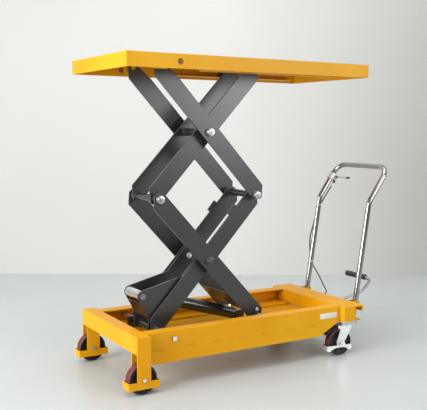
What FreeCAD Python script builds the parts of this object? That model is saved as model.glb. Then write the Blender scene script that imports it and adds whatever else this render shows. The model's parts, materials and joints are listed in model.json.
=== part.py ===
import FreeCAD, Part
import math
import os
import Sketcher

# Double-scissor hydraulic lift table on wheels, with the scissor raised.
# X runs along the table from the front wheels to the handle, Y across it (left is -Y for somebody
# standing at the handle), Z up from the floor. Every x size is measured from the front datum line
# and shifted by centre_x, which puts the origin under the middle of the table.

Vector = FreeCAD.Vector
Rotation = FreeCAD.Rotation
doc = FreeCAD.newDocument("scissor_lift_table")
sheet = doc.addObject("Spreadsheet::Sheet", "dims")

# alias, value in mm or degrees, what it is
ROWS = [
    ("centre_x", 729.5, "middle of the table from the front datum"),
    # platform
    ("deck_x", 1, "front edge of the platform"), ("deck_len", 1220, "platform length"),
    ("deck_wid", 610, "platform width"), ("deck_dep", 60, "platform skirt depth"),
    ("deck_gauge", 4, "platform plate"),
    ("deck_over", 29.65, "platform top above the top pivots"),
    # scissor
    ("pivot_x", 220.6, "fixed pivots"), ("pivot_z", 204, "lowest pivots above the floor"),
    ("arm_len", 752, "pivot to pivot along an arm"), ("tilt", 49.6, "arm angle, raised"),
    ("arm_wid", 80, "arm plate width"), ("arm_gauge", 9, "arm plate thickness"),
    ("arm_end", 27, "arm past its end pivots"), ("arm_cut", 20, "arm corner cut"),
    ("fat", 54.6, "arm edge at the full end"), ("slim", 24.8, "arm edge at the slim end"),
    ("full", 52.3, "opposite edge at the full end"),
    ("inner_y", 86, "inner arms, inside face"), ("outer_y", 128, "outer arms, inside face"),
    ("pin_rad", 12, "scissor pin radius"), ("bush_rad", 12.05, "running bore on a scissor pin"),
    ("open_rad", 12.6, "bore at the opened pivot"),
    ("foot_pin_rad", 10, "fixed-end pin radius"), ("foot_bush_rad", 10.05, "running bore on it"),
    ("head_rad", 16, "pin head radius"), ("head_dep", 13, "pin head depth"),
    ("boss_rad", 20, "boss washer radius"), ("tube_rad", 16.5, "cross tube radius"),
    ("foot_tube_rad", 19, "foot cross tube radius"), ("tube_wall", 4.5, "cross tube wall"),
    ("stop_len", 56, "stop block length"), ("stop_hi", 47, "stop block top off the pivot line"),
    ("stop_at", 606, "stop block along the arm"), ("tie_at", 563, "tie plate along the arm"),
    ("tie_len", 92, "tie plate length"), ("tie_gauge", 6, "tie plate"),
    ("tie_off", 29, "tie plate off the pivot line"),
    # rollers
    ("roll_rad", 28.9, "bed roller radius"), ("roll_y", 157.5, "bed roller inside face"),
    ("roll_wid", 38, "bed roller width"), ("top_roll_rad", 21.5, "platform roller radius"),
    ("top_roll_y", 158, "platform roller inside face"),
    ("top_roll_wid", 24, "platform roller width"),
    ("top_shaft_rad", 11, "platform roller shaft radius"), ("top_shaft_bush", 11.05, "bore on it"),
    # bed
    ("bed_start_x", 95, "rails start"), ("bed_stop_x", 1100, "rails stop"),
    ("rail_y", 268, "rail outer face"), ("rail_lo", 167, "rail bottom"),
    ("rail_hi", 239, "rail top"), ("rail_gauge", 6, "rail wall"),
    ("rail_foot", 8, "rail bottom flange"), ("rail_lip", 57, "top flange width"),
    ("rail_track", 113, "bottom flange width"), ("skirt_lo", 107, "skirt bottom"),
    ("skirt_gauge", 5, "skirt plate"), ("floor_gauge", 4, "tray floor plate"),
    ("floor_hi", 166.5, "tray floor top"), ("beam_y", 305, "cross beam half width"),
    ("beam_x", 34, "front beam face"), ("beam_depth", 61, "front beam depth"),
    ("beam_gauge", 6, "beam wall"), ("rear_x", 1100, "rear beam face"),
    ("rear_flange", 113, "rear beam top flange"), ("rear_foot", 96, "rear beam bottom flange"),
    ("rear_lip", 29, "rear beam lip"), ("rear_cheek", 67, "rear beam end cheek"),
    # front wheels
    ("wheel_rad", 62.5, "wheel radius"), ("wheel_wid", 42, "wheel width"),
    ("wheel_y", 280, "front wheel centre"), ("wheel_x", 63.5, "front axle"),
    ("hub_rad", 15, "wheel hub radius"), ("hub_wid", 46, "front wheel hub width"),
    ("core_rad", 45, "wheel core radius"), ("web_wid", 16, "wheel web width"),
    ("axle_rad", 6, "axle bolt radius"), ("axle_bush", 6.05, "bore on an axle bolt"),
    ("strap_wid", 60, "wheel strap width"), ("strap_gauge", 5, "wheel strap thickness"),
    ("strap_lo", 25, "wheel strap bottom"), ("guard_fore", 38.5, "toe guard ahead of the strap"),
    ("guard_aft", 40, "toe guard behind the strap"), ("guard_hi", 31, "toe guard height"),
    ("guard_gauge", 4, "toe guard bar"),
    # castors
    ("castor_x", 1150, "swivel axis"), ("castor_y", 254, "swivel axis"),
    ("trail", 45, "castor trail"), ("yaw_left", -6, "left castor heading"),
    ("yaw_right", 5, "right castor heading"), ("fork_in", 22.5, "fork leg inside face"),
    ("fork_gauge", 4.5, "fork plate"), ("crown_lo", 139, "fork crown underside"),
    ("crown_gauge", 7, "fork crown"), ("king_rad", 8, "kingpin radius"),
    ("king_bush", 8.05, "bore on the kingpin"), ("race_rad", 28, "swivel race radius"),
    ("plate_len", 100, "castor plate length"), ("plate_wid", 84, "castor plate width"),
    ("plate_gauge", 6, "castor plate"),
    # handle
    ("bow_y", 200, "handle tube centre"), ("bow_rad", 13.5, "handle tube radius"),
    ("bow_bore", 11.5, "handle tube bore"), ("bow_foot_x", 1240, "handle foot"),
    ("bow_foot_z", 168, "handle foot"), ("bow_knee_x", 1328, "handle bend"),
    ("bow_knee_z", 720, "handle bend"), ("bow_top_x", 1450, "handle top bar"),
    ("bow_top_z", 890, "handle top bar"), ("bow_bend", 64, "handle corner bend radius"),
    ("bow_knee_bend", 90, "handle side bend radius"),
    # hydraulics
    ("base_x", 690, "cylinder base pin"), ("base_z", 200, "cylinder base pin"),
    ("tip_along", 77.3, "lever tip pin along the arm"),
    ("tip_off", 137.5, "lever tip pin off the arm"),
    ("barrel_rad", 28, "cylinder barrel radius"), ("bore_rad", 22.5, "cylinder bore"),
    ("barrel_from", 30, "barrel start"), ("barrel_to", 352, "barrel end"),
    ("gland_rad", 31, "gland radius"), ("gland_len", 20, "gland length"),
    ("rod_rad", 16, "piston rod radius"), ("rod_bush", 16.05, "gland bore"),
    ("rod_len", 385, "piston rod length"), ("piston_rad", 22.4, "piston radius"),
    ("cross_rad", 22, "rod end tube radius"), ("cross_half", 66, "rod end tube half length"),
    ("lug_rad", 20, "barrel lug radius"), ("lug_bore", 14, "barrel lug bore, open"),
    ("base_pin_rad", 8, "cylinder base pin radius"),
    ("lever_y", 68, "lever plate inside face"), ("lever_gauge", 8, "lever plate"),
    # pump and pedal
    ("pump_x", 1116, "pump block face"), ("pump_len", 84, "pump block length"),
    ("pump_wid", 90, "pump block width"), ("pump_lo", 72, "pump block bottom"),
    ("pump_hi", 150, "pump block top"), ("tank_rad", 32, "oil tank radius"),
    ("tank_len", 150, "oil tank length"), ("pedal_x", 1160, "pedal pivot"),
    ("pedal_z", 182, "pedal pivot"), ("pedal_rad", 6.5, "pedal rod radius"),
    ("grip_rad", 14, "pedal grip radius"), ("grip_half", 75, "pedal grip half length"),
    ("grip_x", 1420, "pedal grip"), ("grip_z", 316, "pedal grip"),
    ("plunger_x", 1186, "plunger"), ("plunger_rad", 9, "plunger radius"),
    # release lever
    ("clamp_x", 1403.35, "release clamp"), ("clamp_z", 825, "release clamp"),
    ("clamp_rad", 19.5, "release clamp radius"), ("clamp_half", 15, "release clamp half length"),
    ("blade_len", 24, "release lever end above its hinge"),
    ("blade_low", 22, "release lever end below its hinge"),
    ("finger_len", 105, "finger rod length"), ("blade_off", 31, "release lever off the tube"),
    ("cable_rad", 3.2, "release cable radius"), ("hose_rad", 6, "hose radius"),
]


class Size:
    """An expression over the sheet, with its value."""

    def __init__(self, text, value):
        self.text = text
        self.value = float(value)

    @staticmethod
    def of(number):
        return number if isinstance(number, Size) else Size("(%r)" % float(number), number)

    def joined(self, sign, other, work):
        other = Size.of(other)
        return Size("(%s %s %s)" % (self.text, sign, other.text), work(self.value, other.value))

    def __add__(self, other):
        return self.joined("+", other, float.__add__)

    def __sub__(self, other):
        return self.joined("-", other, float.__sub__)

    def __rsub__(self, other):
        return Size.of(other) - self

    def __mul__(self, other):
        return self.joined("*", other, float.__mul__)

    def __truediv__(self, other):
        return self.joined("/", other, float.__truediv__)

    def __neg__(self):
        return Size("(-1 * %s)" % self.text, -self.value)


class Dims:
    """One Size for each alias of the sheet."""


dims = Dims()
for row, (alias, value, note) in enumerate(ROWS, start=1):
    sheet.set("A%d" % row, note)
    sheet.set("B%d" % row, str(value))
    sheet.setAlias("B%d" % row, alias)
    setattr(dims, alias, Size("dims." + alias, value))
doc.recompute()


def cosine(angle):
    return Size("cos(%s * 1 deg)" % angle.text, math.cos(math.radians(angle.value)))


def sine(angle):
    return Size("sin(%s * 1 deg)" % angle.text, math.sin(math.radians(angle.value)))


def bind(obj, prop, size):
    obj.setExpression(prop, Size.of(size).text)


# ================= sides and spans
SIDES = (("left", -1), ("right", 1))


def span(side, near, far):
    """Y limits on one side of the table, from distances off the middle plane."""
    near, far = Size.of(near), Size.of(far)
    return (near, far) if side > 0 else (-far, -near)


def around(middle, half):
    return (middle - half, middle + half)


# ================= Part helpers
NODES = {}
AXES = {
    "x": Rotation(Vector(0, 1, 0), 90),
    "y": Rotation(Vector(1, 0, 0), -90),
    "z": Rotation(),
}


def node(label, obj):
    """Register a piece to be written out."""
    obj.Label = label
    NODES[label] = obj
    return obj


def place(obj, x, y, z, rotation=None, shift=True):
    """Bind an object's base to the sheet; x is from the front datum unless shift is off."""
    x, y, z = Size.of(x), Size.of(y), Size.of(z)
    if shift:
        x = x - dims.centre_x
    base = Vector(x.value, y.value, z.value)
    obj.Placement = FreeCAD.Placement(base, rotation or Rotation())
    for axis, size in (("x", x), ("y", y), ("z", z)):
        bind(obj, "Placement.Base." + axis, size)
    return obj


def box(x_span, y_span, z_span, shift=True):
    block = doc.addObject("Part::Box", "Block")
    spans = (x_span, y_span, z_span)
    for prop, (low, high) in zip(("Length", "Width", "Height"), spans):
        bind(block, prop, Size.of(high) - low)
    return place(block, x_span[0], y_span[0], z_span[0], shift=shift)


def rod(radius, axis, x, y, z, length, shift=True):
    """Cylinder from the point, along +axis or along the Z of a rotation."""
    bar = doc.addObject("Part::Cylinder", "Bar")
    bind(bar, "Radius", radius)
    bind(bar, "Height", length)
    return place(bar, x, y, z, AXES[axis] if isinstance(axis, str) else axis, shift)


def across(radius, at, low, high, shift=True):
    """Cylinder along Y between two y values; at is (x, z)."""
    return rod(radius, "y", at[0], low, at[1], Size.of(high) - low, shift)


def side_pin(radius, at, side, near, far):
    """Cylinder along Y on one side of the table."""
    return across(radius, at, *span(side, near, far))


def cut(base, *tools):
    for tool in tools:
        result = doc.addObject("Part::Cut", "Cut")
        result.Base = base
        result.Tool = tool
        base = result
    return base


def fuse(*shapes):
    result = doc.addObject("Part::MultiFuse", "Fuse")
    result.Shapes = list(shapes)
    result.Refine = True
    return result


def group(*shapes):
    result = doc.addObject("Part::Compound", "Group")
    result.Links = list(shapes)
    return result


# ================= PartDesign helpers
def body(label, x=0, y=0, z=0, rotation=None):
    return place(node(label, doc.addObject("PartDesign::Body", label)), x, y, z, rotation)


def sketch(target, role, offset=0):
    """Empty sketch on an origin plane, offset along the plane's normal."""
    planes = [item for item in target.Origin.OriginFeatures if item.Role == role]
    drawing = target.newObject("Sketcher::SketchObject", "Sketch")
    drawing.AttachmentSupport = [(planes[0], "")]
    drawing.MapMode = "FlatFace"
    shift = Vector(0, 0, Size.of(offset).value)
    drawing.AttachmentOffset = FreeCAD.Placement(shift, Rotation())
    bind(drawing, "AttachmentOffset.Base.z", offset)
    return drawing


def hold(drawing, kind, size, *where):
    """Constraint bound to a size."""
    index = drawing.addConstraint(Sketcher.Constraint(kind, *where, size.value))
    bind(drawing, "Constraints[%d]" % index, size)


def loop(drawing, points):
    """Closed outline; each corner is held from the sketch origin by two bound sizes."""
    points = [(Size.of(x), Size.of(y)) for x, y in points]
    count = len(points)
    first = drawing.GeometryCount
    corners = [Vector(x.value, y.value, 0) for x, y in points]
    for i in range(count):
        drawing.addGeometry(Part.LineSegment(corners[i], corners[(i + 1) % count]), False)
    for i in range(count):
        joint = (first + i, 2, first + (i + 1) % count, 1)
        drawing.addConstraint(Sketcher.Constraint("Coincident", *joint))
    for i, (x, y) in enumerate(points):
        hold(drawing, "DistanceX", x, -1, 1, first + i, 1)
        hold(drawing, "DistanceY", y, -1, 1, first + i, 1)


def hole(drawing, x, y, radius):
    x, y, radius = Size.of(x), Size.of(y), Size.of(radius)
    circle = Part.Circle(Vector(x.value, y.value, 0), Vector(0, 0, 1), radius.value)
    index = drawing.addGeometry(circle, False)
    hold(drawing, "DistanceX", x, -1, 1, index, 3)
    hold(drawing, "DistanceY", y, -1, 1, index, 3)
    hold(drawing, "Radius", radius, index)


def plate(target, role, offset, outline, holes, thick, back=False):
    """Pad of an outline with holes (x, y, radius), or of bare circles if the outline is empty."""
    drawing = sketch(target, role, offset)
    loop(drawing, outline)
    for circle in holes:
        hole(drawing, *circle)
    pad = target.newObject("PartDesign::Pad", "Pad")
    pad.Profile = drawing
    bind(pad, "Length", thick)
    pad.Reversed = back
    return pad


def side_plate(target, outline, holes, y_low, thick):
    """Plate lying in XZ, from y_low towards +Y."""
    return plate(target, "XZ_Plane", -Size.of(y_low), outline, holes, thick, back=True)


def cross_plate(target, outline, x_low, thick):
    """Plate lying in YZ, from x_low towards +X."""
    return plate(target, "YZ_Plane", x_low, outline, [], thick)


def flat_plate(target, outline, holes, z_low, thick):
    return plate(target, "XY_Plane", z_low, outline, holes, thick)


def pocket(target, drawing, depth=None):
    """Pocket to both sides of the sketch, through everything unless a depth is given."""
    feature = target.newObject("PartDesign::Pocket", "Pocket")
    feature.Profile = drawing
    if depth is None:
        feature.Type = 1
    else:
        bind(feature, "Length", depth)
    feature.Midplane = True


def rect(x_low, x_high, y_low, y_high):
    return [(x_low, y_low), (x_high, y_low), (x_high, y_high), (x_low, y_high)]


def spin_body(label, profile, x, y, z, rotation=None):
    """Turned piece from a (radius, across) profile about the local Y axis."""
    target = body(label, x, y, z, rotation)
    drawing = sketch(target, "XY_Plane")
    loop(drawing, profile)
    turned = target.newObject("PartDesign::Revolution", "Turned")
    turned.Profile = drawing
    turned.ReferenceAxis = (drawing, ["V_Axis"])
    turned.Angle = 360


# ================= sweeps
def bent_wire(corners, bends):
    """Straights through the corners, joined by arcs of the bend radii."""
    edges = []
    start = corners[0]
    for i in range(1, len(corners) - 1):
        corner = corners[i]
        back = (corners[i - 1] - corner).normalize()
        ahead = (corners[i + 1] - corner).normalize()
        half_angle = back.getAngle(ahead) / 2.0
        trim = bends[i] / math.tan(half_angle)
        arc_start = corner + back * trim
        arc_end = corner + ahead * trim
        centre = corner + (back + ahead).normalize() * (bends[i] / math.sin(half_angle))
        middle = centre + (corner - centre).normalize() * bends[i]
        if (arc_start - start).Length > 1e-4:
            edges.append(Part.LineSegment(start, arc_start).toShape())
        edges.append(Part.Arc(arc_start, middle, arc_end).toShape())
        start = arc_end
    edges.append(Part.LineSegment(start, corners[-1]).toShape())
    return Part.Wire(edges)


def swept(stations, radius):
    """Round bar along stations of (x, y, z, bend radius)."""
    rows = [[Size.of(entry).value for entry in station] for station in stations]
    corners = [Vector(x - dims.centre_x.value, y, z) for x, y, z, bend in rows]
    wire = bent_wire(corners, [row[3] for row in rows])
    path = doc.addObject("Part::Feature", "Path")
    path.Shape = wire
    profile = doc.addObject("Part::Circle", "Profile")
    bind(profile, "Radius", radius)
    start = wire.Edges[0].valueAt(wire.Edges[0].FirstParameter)
    heading = (corners[1] - corners[0]).normalize()
    profile.Placement = FreeCAD.Placement(start, Rotation(Vector(0, 0, 1), heading))
    sweep = doc.addObject("Part::Sweep", "Sweep")
    sweep.Sections = [profile]
    sweep.Spine = (path, ["Edge%d" % (i + 1) for i in range(len(wire.Edges))])
    sweep.Solid = True
    sweep.Frenet = False
    sweep.Transition = "Right corner"
    return sweep


# ================= scissor pivots, as (x, z)
LEAN_COS, LEAN_SIN = cosine(dims.tilt), sine(dims.tilt)
REACH = dims.arm_len * LEAN_COS
RISE = dims.arm_len * LEAN_SIN
LOW_FRONT = (dims.pivot_x, dims.pivot_z)
LOW_REAR = (dims.pivot_x + REACH, dims.pivot_z)
MID_FRONT = (dims.pivot_x, dims.pivot_z + RISE)
MID_REAR = (dims.pivot_x + REACH, dims.pivot_z + RISE)
TOP_FRONT = (dims.pivot_x, dims.pivot_z + RISE * 2)
TOP_REAR = (dims.pivot_x + REACH, dims.pivot_z + RISE * 2)
LOW_CROSSING = (dims.pivot_x + REACH / 2, dims.pivot_z + RISE / 2)
TOP_CROSSING = (dims.pivot_x + REACH / 2, dims.pivot_z + RISE * 1.5)
LEVER_TIP = (dims.pivot_x + dims.tip_along * LEAN_COS - dims.tip_off * LEAN_SIN,
             dims.pivot_z + dims.tip_along * LEAN_SIN + dims.tip_off * LEAN_COS)

HALF_ARM = dims.arm_len / 2
ARM_OUT = dims.outer_y + dims.arm_gauge  # outside face of the outer arms
LEVER_OUT = dims.lever_y + dims.lever_gauge
DECK_TOP = TOP_FRONT[1] + dims.deck_over
RUN_GAP = 0.4  # side clearance next to arms and rollers

# Arm outlines (along, off the pivot line); each end is full on one edge and slim on the other.
ARM = dims.arm_len
TIP = dims.arm_end
NIP = dims.arm_end - dims.arm_cut
LOWER_INNER = [
    (-TIP, -NIP), (-NIP, -TIP), (ARM - 12, -dims.fat), (ARM + TIP, -16),
    (ARM + TIP, 5), (ARM + NIP, dims.slim), (19, dims.full), (-TIP, NIP),
]
UPPER_INNER = [
    (-TIP, -NIP), (-NIP, -TIP), (ARM - 13, -dims.fat), (ARM + 35.7, -14.2),
    (ARM + 14, 14), (ARM - 12, 25.4), (19, dims.full), (-TIP, NIP),
]
LOWER_OUTER = [
    (-TIP, -NIP), (14, -47.5), (ARM + 2, 0.8 - dims.slim), (ARM + TIP, 1),
    (ARM + TIP, 15), (ARM - 14, dims.fat), (-NIP, 31.8), (-TIP, 12),
]
UPPER_OUTER = [
    (-26.7, -3.6), (24.4, -47.2), (ARM + 2, 0.8 - dims.slim), (ARM + TIP, 1),
    (ARM + TIP, 15), (ARM - 14, dims.fat), (95, 35.1), (20, 24), (-10, 15),
]
# name, front pivot, rises to the rear, inside face, outline, bores at front, middle and rear
ARMS = (
    ("lower_inner", LOW_FRONT, True, dims.inner_y, LOWER_INNER,
     (dims.foot_bush_rad, dims.pin_rad, dims.pin_rad)),
    ("lower_outer", MID_FRONT, False, dims.outer_y, LOWER_OUTER,
     (dims.bush_rad, dims.bush_rad, dims.pin_rad)),
    ("upper_inner", MID_FRONT, True, dims.inner_y, UPPER_INNER,
     (dims.pin_rad, dims.pin_rad, dims.top_shaft_rad)),
    ("upper_outer", TOP_FRONT, False, dims.outer_y, UPPER_OUTER,
     (dims.foot_bush_rad, dims.bush_rad, dims.open_rad)),
)


def tilted_body(label, at, rising):
    """Body whose local +X lies along a rising or falling arm from the pivot."""
    tilt = dims.tilt.value
    rotation = Rotation(Vector(0, 1, 0), -tilt if rising else tilt)
    target = body(label, at[0], 0, at[1], rotation)
    # the bound angle is positive, so the axis carries the direction of the tilt
    bind(target, "Placement.Rotation.Angle", dims.tilt)
    target.Placement.Rotation.Axis = Vector(0, -1 if rising else 1, 0)
    return target


def scissor_arms():
    stop = rect(dims.stop_at, dims.stop_at + dims.stop_len, dims.arm_wid / 4, dims.stop_hi)
    for name, at, rising, face_y, outline, bores in ARMS:
        holes = [(along, 0, radius) for along, radius in zip((0, HALF_ARM, ARM), bores)]
        for side_name, side in SIDES:
            target = tilted_body("%s_arm_%s" % (name, side_name), at, rising)
            y_low = span(side, face_y, face_y + dims.arm_gauge)[0]
            side_plate(target, outline, holes, y_low, dims.arm_gauge)
            if name == "lower_inner":
                side_plate(target, stop, [], y_low, dims.arm_gauge)


def cross_tube(at, radius, bore):
    tube, inside = (across(r, at, -dims.inner_y, dims.inner_y) for r in (radius, bore))
    return cut(tube, inside)


def cross_tubes():
    foot_bore = dims.foot_tube_rad - dims.tube_wall
    node("lower_inner_cross_tubes", group(
        cross_tube(LOW_FRONT, dims.foot_tube_rad, foot_bore),
        cross_tube(MID_REAR, dims.tube_rad, dims.pin_rad)))
    node("upper_inner_cross_tubes", group(
        cross_tube(MID_FRONT, dims.tube_rad, dims.pin_rad),
        cross_tube(TOP_CROSSING, dims.tube_rad, dims.pin_rad)))


HEAD_FROM = ARM_OUT + 3.3
PIN_END = ARM_OUT + 3.4  # just inside the head


def pin_ends(at, side):
    """Washer between the arms, boss outside them and the round head."""
    inner_out = dims.inner_y + dims.arm_gauge
    return (
        side_pin(dims.boss_rad - 3, at, side, inner_out + RUN_GAP, dims.outer_y - RUN_GAP),
        side_pin(dims.boss_rad, at, side, ARM_OUT + 0.3, HEAD_FROM),
        side_pin(dims.head_rad, at, side, HEAD_FROM, HEAD_FROM + dims.head_dep))


def through_shaft(at):
    return fuse(across(dims.pin_rad, at, -PIN_END, PIN_END), *pin_ends(at, -1), *pin_ends(at, 1))


def stub_pin(at, side):
    """Headed pin that ends in a collar inside the lever plate."""
    collar_out = dims.lever_y - 0.5
    return fuse(
        side_pin(dims.pin_rad, at, side, collar_out, PIN_END),
        side_pin(dims.pin_rad + 2, at, side, collar_out - 6, collar_out),
        *pin_ends(at, side))


def scissor_shafts():
    node("lower_inner_shafts", group(
        *[stub_pin(LOW_CROSSING, side) for _, side in SIDES],
        through_shaft(MID_REAR),
        across(dims.foot_pin_rad, LEVER_TIP, -LEVER_OUT, LEVER_OUT)))
    end_y = dims.top_roll_y + dims.top_roll_wid + 1
    sleeve_y = (dims.inner_y + dims.arm_gauge, dims.top_roll_y - RUN_GAP)
    node("upper_inner_shafts", group(
        through_shaft(MID_FRONT),
        through_shaft(TOP_CROSSING),
        fuse(across(dims.top_shaft_rad, TOP_REAR, -end_y, end_y),
             *[side_pin(dims.tube_rad, TOP_REAR, side, *sleeve_y) for _, side in SIDES])))


# Lever plates, (along, off) as for the arms. The wrap plate follows the edge from EDGE_FOOT to
# the tip corner, whose direction is (EDGE_COS, EDGE_SIN).
EDGE_FOOT = (18.4, 49.3)
EDGE_COS, EDGE_SIN = 0.3652, 0.9309
TIP_CORNER = (dims.tip_along - 9.3, dims.tip_off + 38.2)
LEVER = [
    EDGE_FOOT, (-24, 20), (-24, -14), (-8, -32), (HALF_ARM + 22, -34), (HALF_ARM + 38, -16),
    (HALF_ARM + 38, 22), (HALF_ARM + 20, 38.5), (254.6, 40.2), TIP_CORNER,
]


def is_tip_edge(edge):
    """True for the edge across the plate at the tip corner."""
    first, last = edge.ParameterRange
    middle = edge.valueAt((first + last) / 2.0)
    x, z = TIP_CORNER
    return abs(middle.x - x.value) < 0.6 and abs(middle.z - z.value) < 0.6


def lever_plates():
    holes = [(0, 0, dims.foot_tube_rad), (HALF_ARM, 0, dims.pin_rad),
             (dims.tip_along, dims.tip_off, dims.foot_pin_rad)]
    for name, side in SIDES:
        target = tilted_body("lever_plate_" + name, LOW_FRONT, True)
        y_low = span(side, dims.lever_y, LEVER_OUT)[0]
        pad = side_plate(target, LEVER, holes, y_low, dims.lever_gauge)
        doc.recompute()
        edges = pad.Shape.Edges
        names = ["Edge%d" % i for i, edge in enumerate(edges, start=1) if is_tip_edge(edge)]
        if not names:
            raise RuntimeError("no edge to round on " + target.Label)
        fillet = target.newObject("PartDesign::Fillet", "Fillet")
        fillet.Base = (pad, names)
        bind(fillet, "Radius", 27)
        target.Tip = fillet


def wrap_point(along, inward):
    return (EDGE_FOOT[0] + EDGE_COS * along + EDGE_SIN * inward,
            EDGE_FOOT[1] + EDGE_SIN * along - EDGE_COS * inward)


def lever_wrap_plate():
    """Plate across between the lever plates, along the edge below the tip."""
    target = tilted_body("lever_wrap_plate", LOW_FRONT, True)
    outline = [wrap_point(*corner) for corner in rect(2, 80, 0.4, 5.4)]
    side_plate(target, outline, [], -dims.lever_y, dims.lever_y * 2)


def lower_outer_tie_plate():
    target = tilted_body("lower_outer_tie_plate", MID_FRONT, False)
    outline = rect(dims.tie_at, dims.tie_at + dims.tie_len,
                   -dims.tie_off, dims.tie_gauge - dims.tie_off)
    side_plate(target, outline, [], -dims.outer_y, dims.outer_y * 2)


def lower_roller_axles():
    """Stub axles with collars, and a lock screw above each on the arm."""
    screw_at = (LOW_REAR[0] + 2, LOW_REAR[1] + 42)
    roll_out = dims.roll_y + dims.roll_wid
    made = []
    for _, side in SIDES:
        made.append(fuse(
            side_pin(dims.pin_rad, LOW_REAR, side, dims.outer_y, roll_out + 1),
            side_pin(dims.pin_rad + 5, LOW_REAR, side, ARM_OUT, dims.roll_y - RUN_GAP),
            side_pin(dims.pin_rad + 6, LOW_REAR, side, roll_out + RUN_GAP, roll_out + 6)))
        made.append(side_pin(6, screw_at, side, ARM_OUT, ARM_OUT + 6))
    node("lower_roller_axles", group(*made))


def rollers():
    rad, wid = dims.roll_rad, dims.roll_wid
    lower = [
        (dims.bush_rad, 0), (rad - 8, 0), (rad - 8, 2), (rad - 2, 2), (rad, 4), (rad, wid - 4),
        (rad - 2, wid - 2), (rad - 8, wid - 2), (rad - 8, wid), (dims.bush_rad, wid),
    ]
    top_rad, top_wid = dims.top_roll_rad, dims.top_roll_wid
    upper = [
        (dims.top_shaft_bush, 0), (top_rad - 2, 0), (top_rad, 2), (top_rad, top_wid - 2),
        (top_rad - 2, top_wid), (dims.top_shaft_bush, top_wid),
    ]
    for name, side in SIDES:
        y_low = span(side, dims.roll_y, dims.roll_y + wid)[0]
        spin_body("lower_roller_" + name, lower, LOW_REAR[0], y_low, LOW_REAR[1])
        y_low = span(side, dims.top_roll_y, dims.top_roll_y + top_wid)[0]
        spin_body("upper_roller_" + name, upper, TOP_REAR[0], y_low, TOP_REAR[1])


# ================= platform
def platform_deck():
    """Pan with skirts all round and two lengthwise ribs; the walls overlap the plate by 1 mm."""
    target = body("platform_deck", dims.deck_x, 0, DECK_TOP)
    gauge, length, half = dims.deck_gauge, dims.deck_len, dims.deck_wid / 2
    wall_top = -gauge + 1
    rib_gauge, rib_bottom = 4, -12
    skirt_hole = (dims.pivot_x - dims.deck_x + 15.4, -31, 13)
    flat_plate(target, rect(0, length, -half, half), [], -gauge, gauge)
    for y_low in (-half, half - gauge):
        outline = rect(0, length, -dims.deck_dep, wall_top)
        side_plate(target, outline, [skirt_hole], y_low, gauge)
    for x_low in (0, length - gauge):
        cross_plate(target, rect(-half + 1, half - 1, -dims.deck_dep, wall_top), x_low, gauge)
    for y_low in (-60, 56):
        outline = rect(gauge - 1, length - gauge + 1, rib_bottom, wall_top)
        side_plate(target, outline, [], y_low, rib_gauge)


def platform_roller_rails():
    """Channel rails round the platform rollers, open towards the middle."""
    x_span = (400, 1100)
    flange_y, wall, clear = 154, 4, 0.5
    web_y = dims.top_roll_y + dims.top_roll_wid + 4
    bottom = TOP_FRONT[1] - dims.top_roll_rad - wall - clear
    deck_under = DECK_TOP - dims.deck_gauge
    made = []
    for _, side in SIDES:
        flange = span(side, flange_y, web_y + wall)
        made.append(fuse(
            box(x_span, span(side, web_y, web_y + wall), (bottom, deck_under)),
            box(x_span, flange, (bottom, bottom + wall)),
            box(x_span, flange, (TOP_FRONT[1] + dims.top_roll_rad + clear, deck_under))))
    node("platform_roller_rails", group(*made))


def upper_pivot_brackets():
    """Plates under the deck with the pins of the fixed top pivots."""
    made = []
    for _, side in SIDES:
        made.append(fuse(
            box(around(dims.pivot_x, 32), span(side, ARM_OUT + 3, ARM_OUT + 11),
                (TOP_FRONT[1] - 22, DECK_TOP - dims.deck_gauge)),
            side_pin(dims.foot_pin_rad, TOP_FRONT, side, dims.outer_y - 4, ARM_OUT + 16),
            side_pin(dims.foot_pin_rad + 5, TOP_FRONT, side, ARM_OUT + 11, ARM_OUT + 18)))
    node("upper_pivot_brackets", group(*made))


# ================= bed frame
HANDLE_BOLT = (dims.bow_foot_x + 8.5, 218)  # x, z
HOSE_PORT = (745, 40)  # x, y where the hose passes the tray floor


def side_rails():
    low, high = dims.rail_lo, dims.rail_hi
    web_y, lip_y = dims.rail_y - dims.rail_gauge, dims.rail_y - dims.rail_lip
    track_y = dims.rail_y - dims.rail_track
    profile = [
        (dims.rail_y, low), (dims.rail_y, high), (lip_y, high), (lip_y, high - dims.rail_gauge),
        (web_y, high - dims.rail_gauge), (web_y, low + dims.rail_foot),
        (track_y, low + dims.rail_foot), (track_y, low),
    ]
    for name, side in SIDES:
        target = body("side_rail_" + name)
        outline = [(y * side, z) for y, z in profile]
        cross_plate(target, outline, dims.bed_start_x, dims.bed_stop_x - dims.bed_start_x)
        # bore for the pivot bolt through the web
        drawing = sketch(target, "XZ_Plane")
        hole(drawing, *LOW_FRONT, dims.axle_rad)
        pocket(target, drawing)


def skirt_plates():
    front = dims.bed_start_x + 17
    chamfer = 12
    outline = [
        (front, dims.rail_lo), (front, dims.skirt_lo + chamfer), (front + chamfer, dims.skirt_lo),
        (984, dims.skirt_lo), (1096, dims.rail_lo - 1), (1096, dims.rail_lo),
    ]
    for name, side in SIDES:
        y_low = span(side, dims.rail_y - dims.skirt_gauge, dims.rail_y)[0]
        side_plate(body("skirt_plate_" + name), outline, [], y_low, dims.skirt_gauge)


def front_cross_beam():
    """Channel open to the rear."""
    face, back, wall = dims.beam_x, dims.beam_x + dims.beam_depth, dims.beam_gauge
    low, high = dims.rail_lo, dims.rail_hi
    outline = [
        (face, low), (face, high), (back, high), (back, high - wall),
        (face + wall, high - wall), (face + wall, low + wall), (back, low + wall), (back, low),
    ]
    side_plate(body("front_cross_beam"), outline, [], -dims.beam_y, dims.beam_y * 2)


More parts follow.
